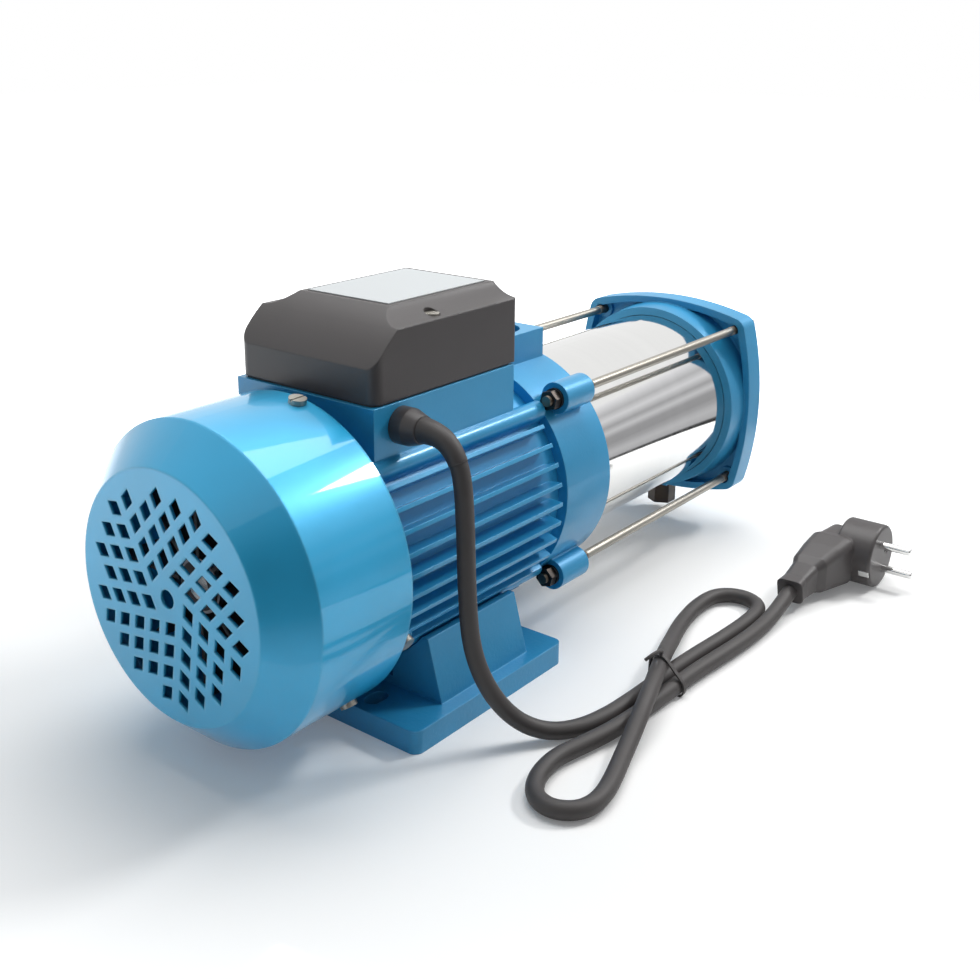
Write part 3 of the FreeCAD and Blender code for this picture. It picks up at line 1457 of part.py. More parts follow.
def make_plug_body():
    """Angled plug: round face towards -Y, square shouldered neck that runs back along the cord."""
    face = rod_y(plug_face_y, plug_face_y + plug_depth, plug_radius, plug_x, plug_z)
    rims = [edge for edge in face.Edges if edge.Curve.TypeId == "Part::GeomCircle"]
    face = face.makeFillet(plug_edge_radius, rims)
    entry = vector(*cord_route[-1])
    heading = entry - vector(*cord_route[-2])
    heading.normalize()
    sections = []
    for reach, half_width, half_height, side, rise in plug_neck:
        way = heading if reach == 0.0 else vector(1, 0, 0)
        sections.append(neck_outline(half_width, half_height, entry + vector(reach, side, rise), way))
    body = join([face, Part.makeLoft(sections, True, True)])
    tools = [plug_socket_rod(plug_face_y - overrun, plug_face_y + plug_socket_depth,
                             plug_socket_radius + slide_gap)]
    reach_z = plug_contact_half_width + plug_contact_gap
    for side in (-1.0, 1.0):
        x0 = plug_x + side * (plug_radius - plug_contact_thickness)
        x1 = plug_x + side * (plug_radius + overrun)
        tools.append(turned_in_plug(box(min(x0, x1), max(x0, x1), plug_face_y - overrun,
                                        plug_face_y + plug_contact_length, plug_z - reach_z,
                                        plug_z + reach_z)))
        tools.append(plug_pin_rod(plug_face_y - overrun, plug_face_y + plug_pin_root,
                                  plug_pin_radius + slide_gap, side))
    return cut_all(body, tools)


def make_plug_pins():
    pins = []
    for side in (-1.0, 1.0):
        pin = plug_pin_rod(plug_face_y - plug_pin_length, plug_face_y + plug_pin_root,
                           plug_pin_radius, side)
        tip = [edge for edge in pin.Edges if edge.Curve.TypeId == "Part::GeomCircle"
               and edge.CenterOfMass.y < plug_face_y]
        pins.append(pin.makeFillet(plug_pin_radius * 0.5, tip))
    return pins


def make_plug_contacts():
    """The two side springs, and the sleeve in the face that takes an earth pin."""
    contacts = []
    for side in (-1.0, 1.0):
        inner = plug_x + side * (plug_radius - plug_contact_thickness)
        outer = plug_x + side * (plug_radius - plug_contact_gap)
        contacts.append(turned_in_plug(box(min(inner, outer), max(inner, outer),
                                           plug_face_y + plug_contact_inset,
                                           plug_face_y + plug_contact_length,
                                           plug_z - plug_contact_half_width,
                                           plug_z + plug_contact_half_width)))
    sleeve = plug_socket_rod(plug_face_y + plug_socket_inset, plug_face_y + plug_socket_depth,
                             plug_socket_radius)
    hollow = plug_socket_rod(plug_face_y, plug_face_y + plug_socket_depth - plug_socket_wall,
                             plug_socket_radius - plug_socket_wall)
    contacts.append(sleeve.cut(hollow))
    return contacts


def cord_crossings(x):
    """Where the cord's three runs pass a plane across X, as (y, z) read off the route."""
    spots = []
    for (x0, y0, z0), (x1, y1, z1) in zip(cord_route[:-1], cord_route[1:]):
        if min(x0, x1) <= x < max(x0, x1) and max(z0, z1) < bundle_height:
            share = (x - x0) / (x1 - x0)
            spots.append((y0 + share * (y1 - y0), z0 + share * (z1 - z0)))
    return spots


def hull(points):
    """Convex outline of points in a plane, counterclockwise."""
    ordered = sorted(points)
    outline = []
    for sweep in (ordered, ordered[::-1]):
        part = []
        for point in sweep:
            while len(part) > 1 and ((part[-1][0] - part[-2][0]) * (point[1] - part[-2][1])
                                     - (part[-1][1] - part[-2][1]) * (point[0] - part[-2][0])) <= 0.0:
                part.pop()
            part.append(point)
        outline += part[:-1]
    return outline


def make_cord_tie():
    """A twist tie: a flat band round the three runs, with its twisted ends standing off."""
    spots = cord_crossings(tie_x)
    rings = []
    for reach in (cord_radius + tie_slack, cord_radius + tie_slack + tie_band):
        cloud = []
        for y, z in spots:
            for i in range(24):
                t = math.radians(15.0 * i)
                cloud.append((y + reach * math.cos(t), z + reach * math.sin(t)))
        corners = [vector(tie_x - tie_width / 2.0, y, z) for y, z in hull(cloud)]
        rings.append(prism(corners, vector(tie_width, 0, 0)))
    band = rings[1].cut(rings[0])
    top_y, top_z = max(spots, key=lambda spot: spot[1])
    root = vector(tie_x, top_y, top_z + cord_radius + tie_slack + tie_band)
    crown = root + vector(-tie_tail_crown, -tie_tail_bow, tie_tail_rise)
    end = root + vector(-tie_tail_reach, 0.0, tie_tail_end_rise)
    curl = Part.Arc(root, crown, end)
    section = Part.Wire(Part.makeCircle(tie_band, root, curl.toShape().tangentAt(0.0)))
    tail = Part.Wire([curl.toShape()]).makePipeShell([section], True, False)
    return join([band, tail])


def main():
    save("fan_cowl", make_fan_cowl())
    save("cowl_screws", make_cowl_screws())
    save("rear_end_shield", make_rear_end_shield())
    save("motor_tie_bolts", make_motor_tie_bolts())
    save("motor_housing", make_motor_housing())
    save("earth_screw", make_earth_screw())
    save("foot", make_foot())
    save("foot_screws", make_foot_screws())
    save("stator_core", make_stator_core())
    save("stator_windings", make_stator_windings())
    save("pump_bracket", make_pump_bracket())
    save("priming_plug", make_priming_plug())
    save("tie_rods", make_tie_rods())
    washers, nuts = make_tie_rod_hardware()
    save("tie_rod_washers", washers)
    save("tie_rod_nuts", nuts)
    save("steel_sleeve", make_sleeve())
    save("sleeve_gaskets", make_sleeve_gaskets())
    save("suction_body", make_suction_body())
    save("drain_plug", make_drain_plug())
    for number in range(stage_count):
        save("diffuser_%d" % (number + 1), make_diffuser(number))
        save("impeller_%d" % (number + 1), make_impeller(number))
    save("impeller_spacers", make_impeller_spacers())
    save("impeller_nut", make_impeller_nut())
    save("shaft", make_shaft())
    save("rotor_core", make_rotor_core())
    save("seal_seat", make_seal_seat())
    save("seal_head", make_seal_head())
    save("water_slinger", make_water_slinger())
    save("cooling_fan", make_cooling_fan())
    save("fan_clip", make_fan_clip())
    save("wave_washer", make_wave_washer())
    bearings = (
        ("rear", rear_bearing_rear, rear_bearing_width, rear_bearing_radius, rear_bearing_bore,
         rear_ball_radius),
        ("front", front_bearing_rear, front_bearing_width, front_bearing_radius, front_bearing_bore,
         front_ball_radius),
    )
    for name, rear, width, radius, bore, ball in bearings:
        outer, inner, pitch, centre = bearing_races(rear, width, radius, bore, ball)
        save(name + "_bearing_outer", outer)
        save(name + "_bearing_inner", inner)
        save(name + "_bearing_balls", ball_set(pitch, centre, ball))
    save("terminal_cover", make_terminal_cover())
    save("terminal_gasket", make_terminal_gasket())
    save("terminal_cover_screws", make_cover_screws())
    save("rating_plate", make_rating_plate())
    save("capacitor", make_capacitor())
    save("terminal_block", make_terminal_block())
    save("terminal_screws", make_terminal_screws())
    save("cable_gland", make_cable_gland())
    save("gland_nut", make_gland_nut())
    save("power_cord", make_power_cord())
    save("plug_body", make_plug_body())
    save("plug_pins", make_plug_pins())
    save("plug_earth_contacts", make_plug_contacts())
    save("cord_tie", make_cord_tie())


main()
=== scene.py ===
# %% [markdown]
# # A multistage pump, dressed for the camera
# The solids of this pump come from its CAD model. Each one is a separate piece with its true size, and
# Blender keeps them where they are. What is left to do here is the looks: paint, cast skin, polished
# steel, moulded plastic, and the cord that lies on the floor.
# All lengths are in metres. X runs along the shaft, Z is up, and the cord leaves on the -Y side.

# %% Load the frame
import json
import math
import bpy
import bmesh
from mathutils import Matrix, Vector


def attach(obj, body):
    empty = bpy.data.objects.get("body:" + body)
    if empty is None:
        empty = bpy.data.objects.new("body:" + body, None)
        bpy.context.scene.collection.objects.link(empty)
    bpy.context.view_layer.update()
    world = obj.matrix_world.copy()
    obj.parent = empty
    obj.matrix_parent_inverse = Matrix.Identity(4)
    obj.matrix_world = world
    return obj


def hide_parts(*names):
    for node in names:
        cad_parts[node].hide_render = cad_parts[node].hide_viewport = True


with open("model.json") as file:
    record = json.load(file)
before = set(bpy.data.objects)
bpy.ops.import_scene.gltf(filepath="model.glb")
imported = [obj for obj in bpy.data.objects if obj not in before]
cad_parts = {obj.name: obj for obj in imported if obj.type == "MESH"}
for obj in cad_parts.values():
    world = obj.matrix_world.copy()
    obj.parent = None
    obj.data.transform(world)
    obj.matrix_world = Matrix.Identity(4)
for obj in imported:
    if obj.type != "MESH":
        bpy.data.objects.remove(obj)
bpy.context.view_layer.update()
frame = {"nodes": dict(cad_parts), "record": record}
nodes = frame["nodes"]

# %% [markdown]
# ## The camera
# The photograph was taken from behind the fan, a little above the pump. The place and the lens were
# found by fitting the cowl's circles, the tie rods and the foot. The picture is a square crop, so its
# middle isn't the lens's middle, and a small shift puts that right.

# %% Camera
camera = bpy.data.objects.new("camera", bpy.data.cameras.new("camera"))
bpy.context.scene.collection.objects.link(camera)
camera.location = (-0.46104, -0.42412, 0.33669)
looking = Vector((0.74123, 0.61033, -0.27949))
camera.rotation_euler = looking.to_track_quat("-Z", "Y").to_euler()
camera.data.sensor_width = 36.0
camera.data.lens = 45.77
camera.data.shift_x = 0.0432
camera.data.shift_y = -0.0974
camera.data.clip_start = 0.01
camera.data.clip_end = 40.0
bpy.context.scene.camera = camera
print("camera at", tuple(round(c, 3) for c in camera.location))

# %% [markdown]
# ## The mains cord
# A mains cord is a limp tube of one thickness, so a curve with a round bevel is the natural way to make
# it. The control points are the route that the real cord takes: out of the gland, down the motor's side,
# and into a bundle of three runs on the floor. A smooth spline through such a frame of points bends like
# rubber, where straight runs with arcs would look like wire. Each point carries the cord's radius, and
# the bevel's depth multiplies it by one. The curve's box counts a point's radius, so this keeps it true.

# %% Cord
route = [
    (-0.038, -0.061, 0.157), (-0.038, -0.071, 0.157), (-0.038, -0.080, 0.150),
    (-0.0377, -0.0845, 0.139), (-0.0373, -0.086, 0.116), (-0.038, -0.0875, 0.084),
    (-0.0383, -0.090, 0.057), (-0.035, -0.0945, 0.038), (-0.0285, -0.101, 0.022),
    (-0.020, -0.1085, 0.011), (-0.010, -0.1175, 0.0054), (0.0025, -0.126, 0.0047),
    (0.020, -0.1308, 0.0048), (0.045, -0.1324, 0.0047), (0.075, -0.1327, 0.0048),
    (0.105, -0.1338, 0.0047), (0.134, -0.1364, 0.0047), (0.162, -0.1377, 0.0047),
    (0.1806, -0.1363, 0.0047), (0.1886, -0.1312, 0.0047), (0.1922, -0.1224, 0.0047),
    (0.1902, -0.1131, 0.0047), (0.1832, -0.1067, 0.0047), (0.1738, -0.1048, 0.0047),
    (0.157, -0.1052, 0.0048), (0.134, -0.1094, 0.0050), (0.108, -0.1184, 0.0080),
    (0.084, -0.1275, 0.0134), (0.058, -0.1374, 0.0148), (0.035, -0.1456, 0.0142),
    (0.013, -0.1518, 0.0086), (-0.004, -0.1562, 0.0048), (-0.021, -0.162, 0.0047),
    (-0.035, -0.166, 0.0047), (-0.047, -0.1668, 0.0047), (-0.0558, -0.1628, 0.0047),
    (-0.0606, -0.1542, 0.0047), (-0.0588, -0.1448, 0.0047), (-0.0518, -0.1382, 0.0047),
    (-0.041, -0.1338, 0.0047), (-0.0255, -0.132, 0.0047), (-0.009, -0.1358, 0.0047),
    (0.010, -0.1398, 0.0048), (0.034, -0.1418, 0.0047), (0.063, -0.1423, 0.0048),
    (0.092, -0.143, 0.0047), (0.120, -0.1456, 0.0047), (0.146, -0.1472, 0.0047),
    (0.170, -0.147, 0.0052), (0.190, -0.1456, 0.0080), (0.204, -0.1449, 0.0116),
]
cord_radius = 0.0045
cord_curve = bpy.data.curves.new("power_cord_skin", "CURVE")
cord_curve.dimensions = "3D"
cord_spline = cord_curve.splines.new("NURBS")
cord_spline.points.add(len(route) - 1)
for point, place in zip(cord_spline.points, route):
    point.co = (*place, 1.0)
    point.radius = cord_radius
cord_spline.order_u = 3         # a quadratic spline stays close to its points
cord_spline.use_endpoint_u = True
cord_spline.resolution_u = 10
cord = bpy.data.objects.new("power_cord_skin", cord_curve)
bpy.context.scene.collection.objects.link(cord)
centreline = [v.co.copy() for v in bpy.data.meshes.new_from_object(cord).vertices]
cord_length = sum((b - a).length for a, b in zip(centreline, centreline[1:]))
cord_curve.bevel_depth = 1.0
cord_curve.bevel_resolution = 8
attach(cord, "pump")
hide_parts("power_cord")
print("cord length %.3f m along %d points" % (cord_length, len(centreline)))

# %% [markdown]
# ## The strain relief at the gland
# Where the cord leaves the terminal box, a rubber sleeve keeps it from being bent sharply. It is thick at
# the gland's nose and runs out to the cord's own thickness. It is a tube whose rings follow the first
# points of the cord's centreline, so it bends exactly as the cord does.

# %% A tube along a line of points
def tube_along(name, line, radii, sides=32):
    """Rings of vertices square to the line, joined into a skin and closed at both ends."""
    shape = bmesh.new()
    rings = []
    for i, (place, radius) in enumerate(zip(line, radii)):
        ahead = line[min(i + 1, len(line) - 1)]
        behind = line[max(i - 1, 0)]
        turn = (ahead - behind).to_track_quat("Z", "X")
        ring = []
        for k in range(sides):
            angle = 2.0 * math.pi * k / sides
            ring.append(shape.verts.new(place + turn @ Vector((radius * math.cos(angle),
                                                               radius * math.sin(angle), 0.0))))
        rings.append(ring)
    for near, far in zip(rings, rings[1:]):
        for k in range(sides):
            shape.faces.new((near[k], near[(k + 1) % sides], far[(k + 1) % sides], far[k]))
    shape.faces.new(rings[0][::-1])
    shape.faces.new(rings[-1])
    for face in shape.faces:
        face.smooth = len(face.verts) == 4
    mesh = bpy.data.meshes.new(name)
    shape.to_mesh(mesh)
    shape.free()
    piece = bpy.data.objects.new(name, mesh)
    bpy.context.scene.collection.objects.link(piece)
    return piece


# %% Strain relief
relief_length = 0.030
relief_root = 0.004             # how far it reaches back into the gland
relief_clearance = 0.0003       # round the cord, at the thin end
relief_swell = 0.0022           # added to that at the gland
relief_taper = 1.6              # above one, it thins fast at first
relief_line = [centreline[0] + Vector((0.0, relief_root, 0.0))]
relief_travel = [0.0]
for near, far in zip(centreline, centreline[1:]):
    relief_line.append(near)
    relief_travel.append((relief_line[-1] - relief_line[-2]).length + relief_travel[-1])
    if relief_travel[-1] > relief_length:
        break
relief_radii = []
for travel in relief_travel:
    share = min(travel / relief_travel[-1], 1.0)
    relief_radii.append(cord_radius + relief_clearance + relief_swell * (1.0 - share) ** relief_taper)
strain_relief = tube_along("strain_relief", relief_line, relief_radii)
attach(strain_relief, "pump")
print("strain relief %.1f mm long" % (1000.0 * relief_travel[-1]))

# %% [markdown]

# %% [markdown]
# ## Effects that several finishes share
# Paint, castings and metals have effects in common: soft edges, a rough cast skin, fine streaks and
# screw threads. Each is a node group, built once and placed in every material that needs it with values
# of its own. The groups work in the pump's own coordinates, so a pattern has its true size everywhere.

# %% Helpers for node trees
def new_group(name, inputs, outputs):
    """An empty node group with labelled sockets. Gives back the group and its two end nodes."""
    group = bpy.data.node_groups.new(name, "ShaderNodeTree")
    for label, value in inputs:
        kind = "NodeSocketVector" if isinstance(value, tuple) else "NodeSocketFloat"
        socket = group.interface.new_socket(label, in_out="INPUT", socket_type=kind)
        socket.default_value = value
    for label, kind in outputs:
        group.interface.new_socket(label, in_out="OUTPUT", socket_type=kind)
    return group, group.nodes.new("NodeGroupInput"), group.nodes.new("NodeGroupOutput")


def node(tree, kind, **settings):
    """A new node with its settings."""
    made = tree.nodes.new(kind)
    for key, value in settings.items():
        setattr(made, key, value)
    return made


def maths(tree, operation, first, second):
    """A Math node. Each of its two sides is a number or a socket."""
    made = node(tree, "ShaderNodeMath", operation=operation)
    for socket, value in zip(made.inputs, (first, second)):
        if isinstance(value, bpy.types.NodeSocket):
            tree.links.new(value, socket)
        else:
            socket.default_value = value
    return made.outputs[0]


# %% [markdown]
# ### Soft edges
# No real edge is perfectly sharp: sheet metal is rolled over a radius and a casting's corners are round.
# A Bevel node rounds the shading over a set radius. Where its normal turns away from the face's own one,
# there is an edge, and that gives a mask along which the finishes paint a lighter colour: a painted
# highlight.

# %% Soft edges group
edge_gain = 6.0                 # a turn of the normal by some 30 degrees counts as all edge
soft_edges, enters, leaves = new_group("soft edges", [("Radius", 0.001)],
                                       [("Normal", "NodeSocketVector"), ("Edge", "NodeSocketFloat")])
rounding = node(soft_edges, "ShaderNodeBevel", samples=4)
face_normal = node(soft_edges, "ShaderNodeNewGeometry")
agreement = node(soft_edges, "ShaderNodeVectorMath", operation="DOT_PRODUCT")
soft_edges.links.new(enters.outputs["Radius"], rounding.inputs["Radius"])
soft_edges.links.new(rounding.outputs["Normal"], agreement.inputs[0])
soft_edges.links.new(face_normal.outputs["Normal"], agreement.inputs[1])
turned_away = maths(soft_edges, "SUBTRACT", 1.0, agreement.outputs["Value"])
edge_mask = node(soft_edges, "ShaderNodeMath", operation="MULTIPLY", use_clamp=True)
soft_edges.links.new(turned_away, edge_mask.inputs[0])
edge_mask.inputs[1].default_value = edge_gain
soft_edges.links.new(rounding.outputs["Normal"], leaves.inputs["Normal"])
soft_edges.links.new(edge_mask.outputs[0], leaves.inputs["Edge"])
print("group:", soft_edges.name)

# %% [markdown]
# ### Skin
# A skin is fine relief with a slow change of tone under it. With small grains it is the sand texture of
# a casting or the satin of moulded plastic, and with large soft ones it is the flow of thick paint.

# %% Skin group
skin, enters, leaves = new_group("skin", [("Grains per metre", 400.0), ("Patches per metre", 20.0)],
                                 [("Height", "NodeSocketFloat"), ("Tone", "NodeSocketFloat")])
own_place = node(skin, "ShaderNodeTexCoord")
grain = node(skin, "ShaderNodeTexNoise")
grain.inputs["Detail"].default_value = 3.0
patches = node(skin, "ShaderNodeTexNoise")
patches.inputs["Detail"].default_value = 4.0
for texture, label in ((grain, "Grains per metre"), (patches, "Patches per metre")):
    skin.links.new(own_place.outputs["Object"], texture.inputs["Vector"])
    skin.links.new(enters.outputs[label], texture.inputs["Scale"])
skin.links.new(grain.outputs["Fac"], leaves.inputs["Height"])
skin.links.new(patches.outputs["Fac"], leaves.inputs["Tone"])
print("group:", skin.name)

# %% [markdown]
# ### Streaks
# Rolled, ground and brushed metal has fine lines in one direction, and a mould leaves some too. Noise
# that is squeezed across the lines and stretched along them looks the same.

# %% Streaks group
streaks, enters, leaves = new_group("streaks", [("Lines per metre", (900.0, 12.0, 900.0))],
                                    [("Height", "NodeSocketFloat"), ("Tone", "NodeSocketFloat")])
own_place = node(streaks, "ShaderNodeTexCoord")
squeezed = node(streaks, "ShaderNodeVectorMath", operation="MULTIPLY")
streaks.links.new(own_place.outputs["Object"], squeezed.inputs[0])
streaks.links.new(enters.outputs["Lines per metre"], squeezed.inputs[1])
lines = node(streaks, "ShaderNodeTexNoise")
lines.inputs["Scale"].default_value = 1.0
lines.inputs["Detail"].default_value = 2.0
wide_lines = node(streaks, "ShaderNodeTexNoise")
wide_lines.inputs["Scale"].default_value = 0.12
for texture in (lines, wide_lines):
    streaks.links.new(squeezed.outputs["Vector"], texture.inputs["Vector"])
streaks.links.new(lines.outputs["Fac"], leaves.inputs["Height"])
streaks.links.new(wide_lines.outputs["Fac"], leaves.inputs["Tone"])
print("group:", streaks.name)

# %% [markdown]
# ### Rings along the shaft
# Screw threads on the tie rods and the edges of stacked steel sheets are both ridges that repeat along
# X. A sine of X makes the ridges, and a start and an end keep them to the part of the rod that is cut.

# %% Ridges group
ridges, enters, leaves = new_group("ridges", [("Pitch", 0.001), ("Start", -1.0), ("End", 1.0)],
                                   [("Height", "NodeSocketFloat"), ("Inside", "NodeSocketFloat")])
own_place = node(ridges, "ShaderNodeTexCoord")
apart = node(ridges, "ShaderNodeSeparateXYZ")
ridges.links.new(own_place.outputs["Object"], apart.inputs[0])
along = apart.outputs["X"]
turns = maths(ridges, "DIVIDE", along, enters.outputs["Pitch"])
wave = node(ridges, "ShaderNodeMath", operation="SINE")
ridges.links.new(maths(ridges, "MULTIPLY", turns, 2.0 * math.pi), wave.inputs[0])
past_start = maths(ridges, "GREATER_THAN", along, enters.outputs["Start"])
before_end = maths(ridges, "LESS_THAN", along, enters.outputs["End"])
inside = maths(ridges, "MULTIPLY", past_start, before_end)
ridges.links.new(maths(ridges, "MULTIPLY", wave.outputs[0], inside), leaves.inputs["Height"])
ridges.links.new(inside, leaves.inputs["Inside"])
print("group:", ridges.name)

# %% [markdown]
# ## Finishes
# A finish is one Principled shader. The numbers that are the same all over a piece are set on the shader
# itself, and only what changes from place to place comes from the groups: a colour that drifts a little,
# a gloss that isn't even, and the relief.

# %% A helper that starts a finish
finishes = {}


def start_finish(slot, colour, roughness, metallic=0.0, coat=0.0, coat_roughness=0.05, shine=0.5):
    """A material with one Principled shader. Gives back its node tree and that shader."""
    material = bpy.data.materials.new(slot)
    material.use_nodes = True
    tree = material.node_tree
    shader = tree.nodes["Principled BSDF"]
    shader.inputs["Base Color"].default_value = (*colour, 1.0)
    shader.inputs["Roughness"].default_value = roughness
    shader.inputs["Metallic"].default_value = metallic
    shader.inputs["Coat Weight"].default_value = coat
    shader.inputs["Coat Roughness"].default_value = coat_roughness
    shader.inputs["Specular IOR Level"].default_value = shine
    finishes[slot] = material
    return tree, shader


def place_group(tree, group, **values):
    """A node group placed in a material. In its labels, an underscore stands for a space."""
    placed = node(tree, "ShaderNodeGroup", node_tree=group)
    for label, value in values.items():
        placed.inputs[label.replace("_", " ")].default_value = value
    return placed


noise_low, noise_high = 0.3, 0.7        # nearly all of a noise texture lies between these


def between(tree, mask, low, high):
    """A number that runs from low to high as a noise mask runs over its usual span."""
    spread = node(tree, "ShaderNodeMapRange")
    spread.inputs["From Min"].default_value = noise_low
    spread.inputs["From Max"].default_value = noise_high
    spread.inputs["To Min"].default_value = low
    spread.inputs["To Max"].default_value = high
    tree.links.new(mask, spread.inputs["Value"])
    return spread.outputs["Result"]


def mix_colours(tree, mask, first, second):
    """A colour between two. Each is three numbers or a socket."""
    mixed = node(tree, "ShaderNodeMix", data_type="RGBA")
    for socket, value in ((mixed.inputs["A"], first), (mixed.inputs["B"], second)):
        if isinstance(value, bpy.types.NodeSocket):
            tree.links.new(value, socket)
        else:
            socket.default_value = (*value, 1.0)
    tree.links.new(mask, mixed.inputs["Factor"])
    return mixed.outputs["Result"]


def raise_relief(tree, shader, height, strength, depth, normal=None):
    """Feeds the shader a Bump node of real depth, on top of the rounded normal if there is one."""
    bump = node(tree, "ShaderNodeBump")
    bump.inputs["Strength"].default_value = strength
    bump.inputs["Distance"].default_value = depth
    tree.links.new(height, bump.inputs["Height"])
    if normal is not None:
        tree.links.new(normal, bump.inputs["Normal"])
    tree.links.new(bump.outputs["Normal"], shader.inputs["Normal"])


# %% [markdown]
# ### Blue paint
# The cowl is pressed steel under a thick gloss enamel with fine metal flakes, so it gets a clear coat
# that mirrors the lamps over a partly metallic base, with a faint orange peel. The castings wear the same
# blue with less gloss over a sandy skin. Every edge is painted a lighter blue, a painted highlight.

# %% Painted finishes
dull_share = 0.84               # of the paint's colour, in its duller patches
edge_highlight_share = 0.55               # of the painted highlight's colour, right on an edge


def painted(slot, colour, edge_highlight_colour, roughness, flakes, coat, coat_roughness, radius, grains, depth):
    """Blue paint: flakes is how metallic its base is, radius the roundness of its edges."""
    tree, shader = start_finish(slot, colour, roughness, flakes, coat, coat_roughness)
    edges = place_group(tree, soft_edges, Radius=radius)
    surface = place_group(tree, skin, Grains_per_metre=grains, Patches_per_metre=14.0)
    dull = tuple(dull_share * c for c in colour)
    tone = mix_colours(tree, between(tree, surface.outputs["Tone"], 0.0, 1.0), dull, colour)
    # each edge is painted in a lighter blue: a painted highlight
    highlight_rim = maths(tree, "MULTIPLY", edges.outputs["Edge"], edge_highlight_share)
    tree.links.new(mix_colours(tree, highlight_rim, tone, edge_highlight_colour), shader.inputs["Base Color"])
    smoother, rougher = roughness - 0.05, roughness + 0.07
    tree.links.new(between(tree, surface.outputs["Tone"], smoother, rougher), shader.inputs["Roughness"])
    raise_relief(tree, shader, surface.outputs["Height"], strength=0.5, depth=depth,
                 normal=edges.outputs["Normal"])


# the second colour of each paint is the lighter blue painted on its edges, a painted highlight
painted("blue_gloss_steel", (0.012, 0.490, 0.880), (0.08, 0.60, 0.92), roughness=0.32, flakes=0.20,
        coat=0.8, coat_roughness=0.04, radius=0.0022, grains=160.0, depth=0.00010)
painted("blue_cast_aluminium", (0.026, 0.355, 0.670), (0.10, 0.48, 0.80), roughness=0.38, flakes=0.15,
        coat=0.35, coat_roughness=0.16, radius=0.0007, grains=650.0, depth=0.00016)
painted("blue_cast_iron", (0.028, 0.330, 0.620), (0.10, 0.46, 0.78), roughness=0.42, flakes=0.10,
        coat=0.25, coat_roughness=0.24, radius=0.0010, grains=520.0, depth=0.00026)
print("painted finishes:", sorted(finishes))

# %% [markdown]
# ### Bare metals
# The sleeve is drawn stainless tube, polished to a mirror, and the little that shows of its making are
# faint lines round it. Screws and rods are plated, so they are duller and their tone drifts.

# %% Metal finishes
def metal(slot, colour, roughness, lines_per_metre, relief, radius=0.0004, stain=(0.9, 0.88, 0.84)):
    """Bare metal with fine lines. The stain is what its colour is multiplied by in the duller patches."""
    tree, shader = start_finish(slot, colour, roughness, metallic=1.0)
    edges = place_group(tree, soft_edges, Radius=radius)
    brushed = place_group(tree, streaks, Lines_per_metre=lines_per_metre)
    stained = tuple(c * s for c, s in zip(colour, stain))
    tree.links.new(mix_colours(tree, between(tree, brushed.outputs["Tone"], 0.0, 1.0), stained, colour),
                   shader.inputs["Base Color"])
    smoother, rougher = 0.8 * roughness, 1.25 * roughness
    tree.links.new(between(tree, brushed.outputs["Tone"], smoother, rougher), shader.inputs["Roughness"])
    raise_relief(tree, shader, brushed.outputs["Height"], strength=0.4, depth=relief,
                 normal=edges.outputs["Normal"])
    return tree, shader


metal("polished_steel", (0.80, 0.80, 0.79), roughness=0.075, lines_per_metre=(700.0, 6.0, 6.0),
      relief=0.000004, stain=(0.97, 0.97, 0.97))
for slot, colour, roughness, lines_per_metre, relief in (
    ("bearing_steel", (0.72, 0.72, 0.74), 0.16, (1500.0, 60.0, 60.0), 0.00001),
    ("turned_steel", (0.60, 0.60, 0.61), 0.26, (2200.0, 40.0, 40.0), 0.00002),
    ("spring_steel", (0.42, 0.42, 0.45), 0.30, (800.0, 60.0, 60.0), 0.00002),
    ("seal_metal", (0.56, 0.56, 0.58), 0.28, (1500.0, 60.0, 60.0), 0.00002),
    ("rotor_aluminium", (0.70, 0.70, 0.71), 0.38, (1400.0, 90.0, 90.0), 0.00003),
    ("brass_screws", (0.76, 0.56, 0.25), 0.28, (300.0, 300.0, 1200.0), 0.00002),
):
    metal(slot, colour, roughness, lines_per_metre, relief)
metal("black_steel", (0.050, 0.048, 0.047), roughness=0.42, lines_per_metre=(500.0, 500.0, 500.0),
      relief=0.00004, stain=(1.6, 1.3, 1.1))
print("metal finishes:", len(finishes))

# %% [markdown]
# ### Tie rods and screws
# The tie rods are threaded at both ends. The cut thread holds dirt and oil, so those stretches are
# brown and dull, while the drawn shank between them is a plain grey. The ridges group does both: its
# height makes the thread, and its mask says where the dirt is.

# %% Plated steel with threads
thread_pitch = 0.001
dirt_cover = 0.75               # how much of the plating the dirt hides
dirt_brown = (0.16, 0.12, 0.085)
tree, shader = metal("steel_bolts", (0.40, 0.385, 0.35), roughness=0.40,
                     lines_per_metre=(40.0, 1300.0, 1300.0), relief=0.00002)
plated = shader.inputs["Base Color"].links[0].from_socket
thread_rear = place_group(tree, ridges, Pitch=thread_pitch, Start=0.074, End=0.1185)
thread_front = place_group(tree, ridges, Pitch=thread_pitch, Start=0.2890, End=0.330)
threaded = maths(tree, "ADD", thread_rear.outputs["Inside"], thread_front.outputs["Inside"])
thread_height = maths(tree, "ADD", thread_rear.outputs["Height"], thread_front.outputs["Height"])
dirt = maths(tree, "MULTIPLY", threaded, dirt_cover)
tree.links.new(mix_colours(tree, dirt, plated, dirt_brown), shader.inputs["Base Color"])
first_bump = shader.inputs["Normal"].links[0].from_socket
raise_relief(tree, shader, thread_height, strength=0.6, depth=0.00022, normal=first_bump)
print("threaded finish:", finishes["steel_bolts"].name)

# %% [markdown]
# ### Sheets and wire inside the motor
# The stator's iron is a stack of half-millimetre sheets, whose edges are ridges along the shaft. The
# windings are varnished copper wire, so their ridges run with the wire and their coat is glossy.

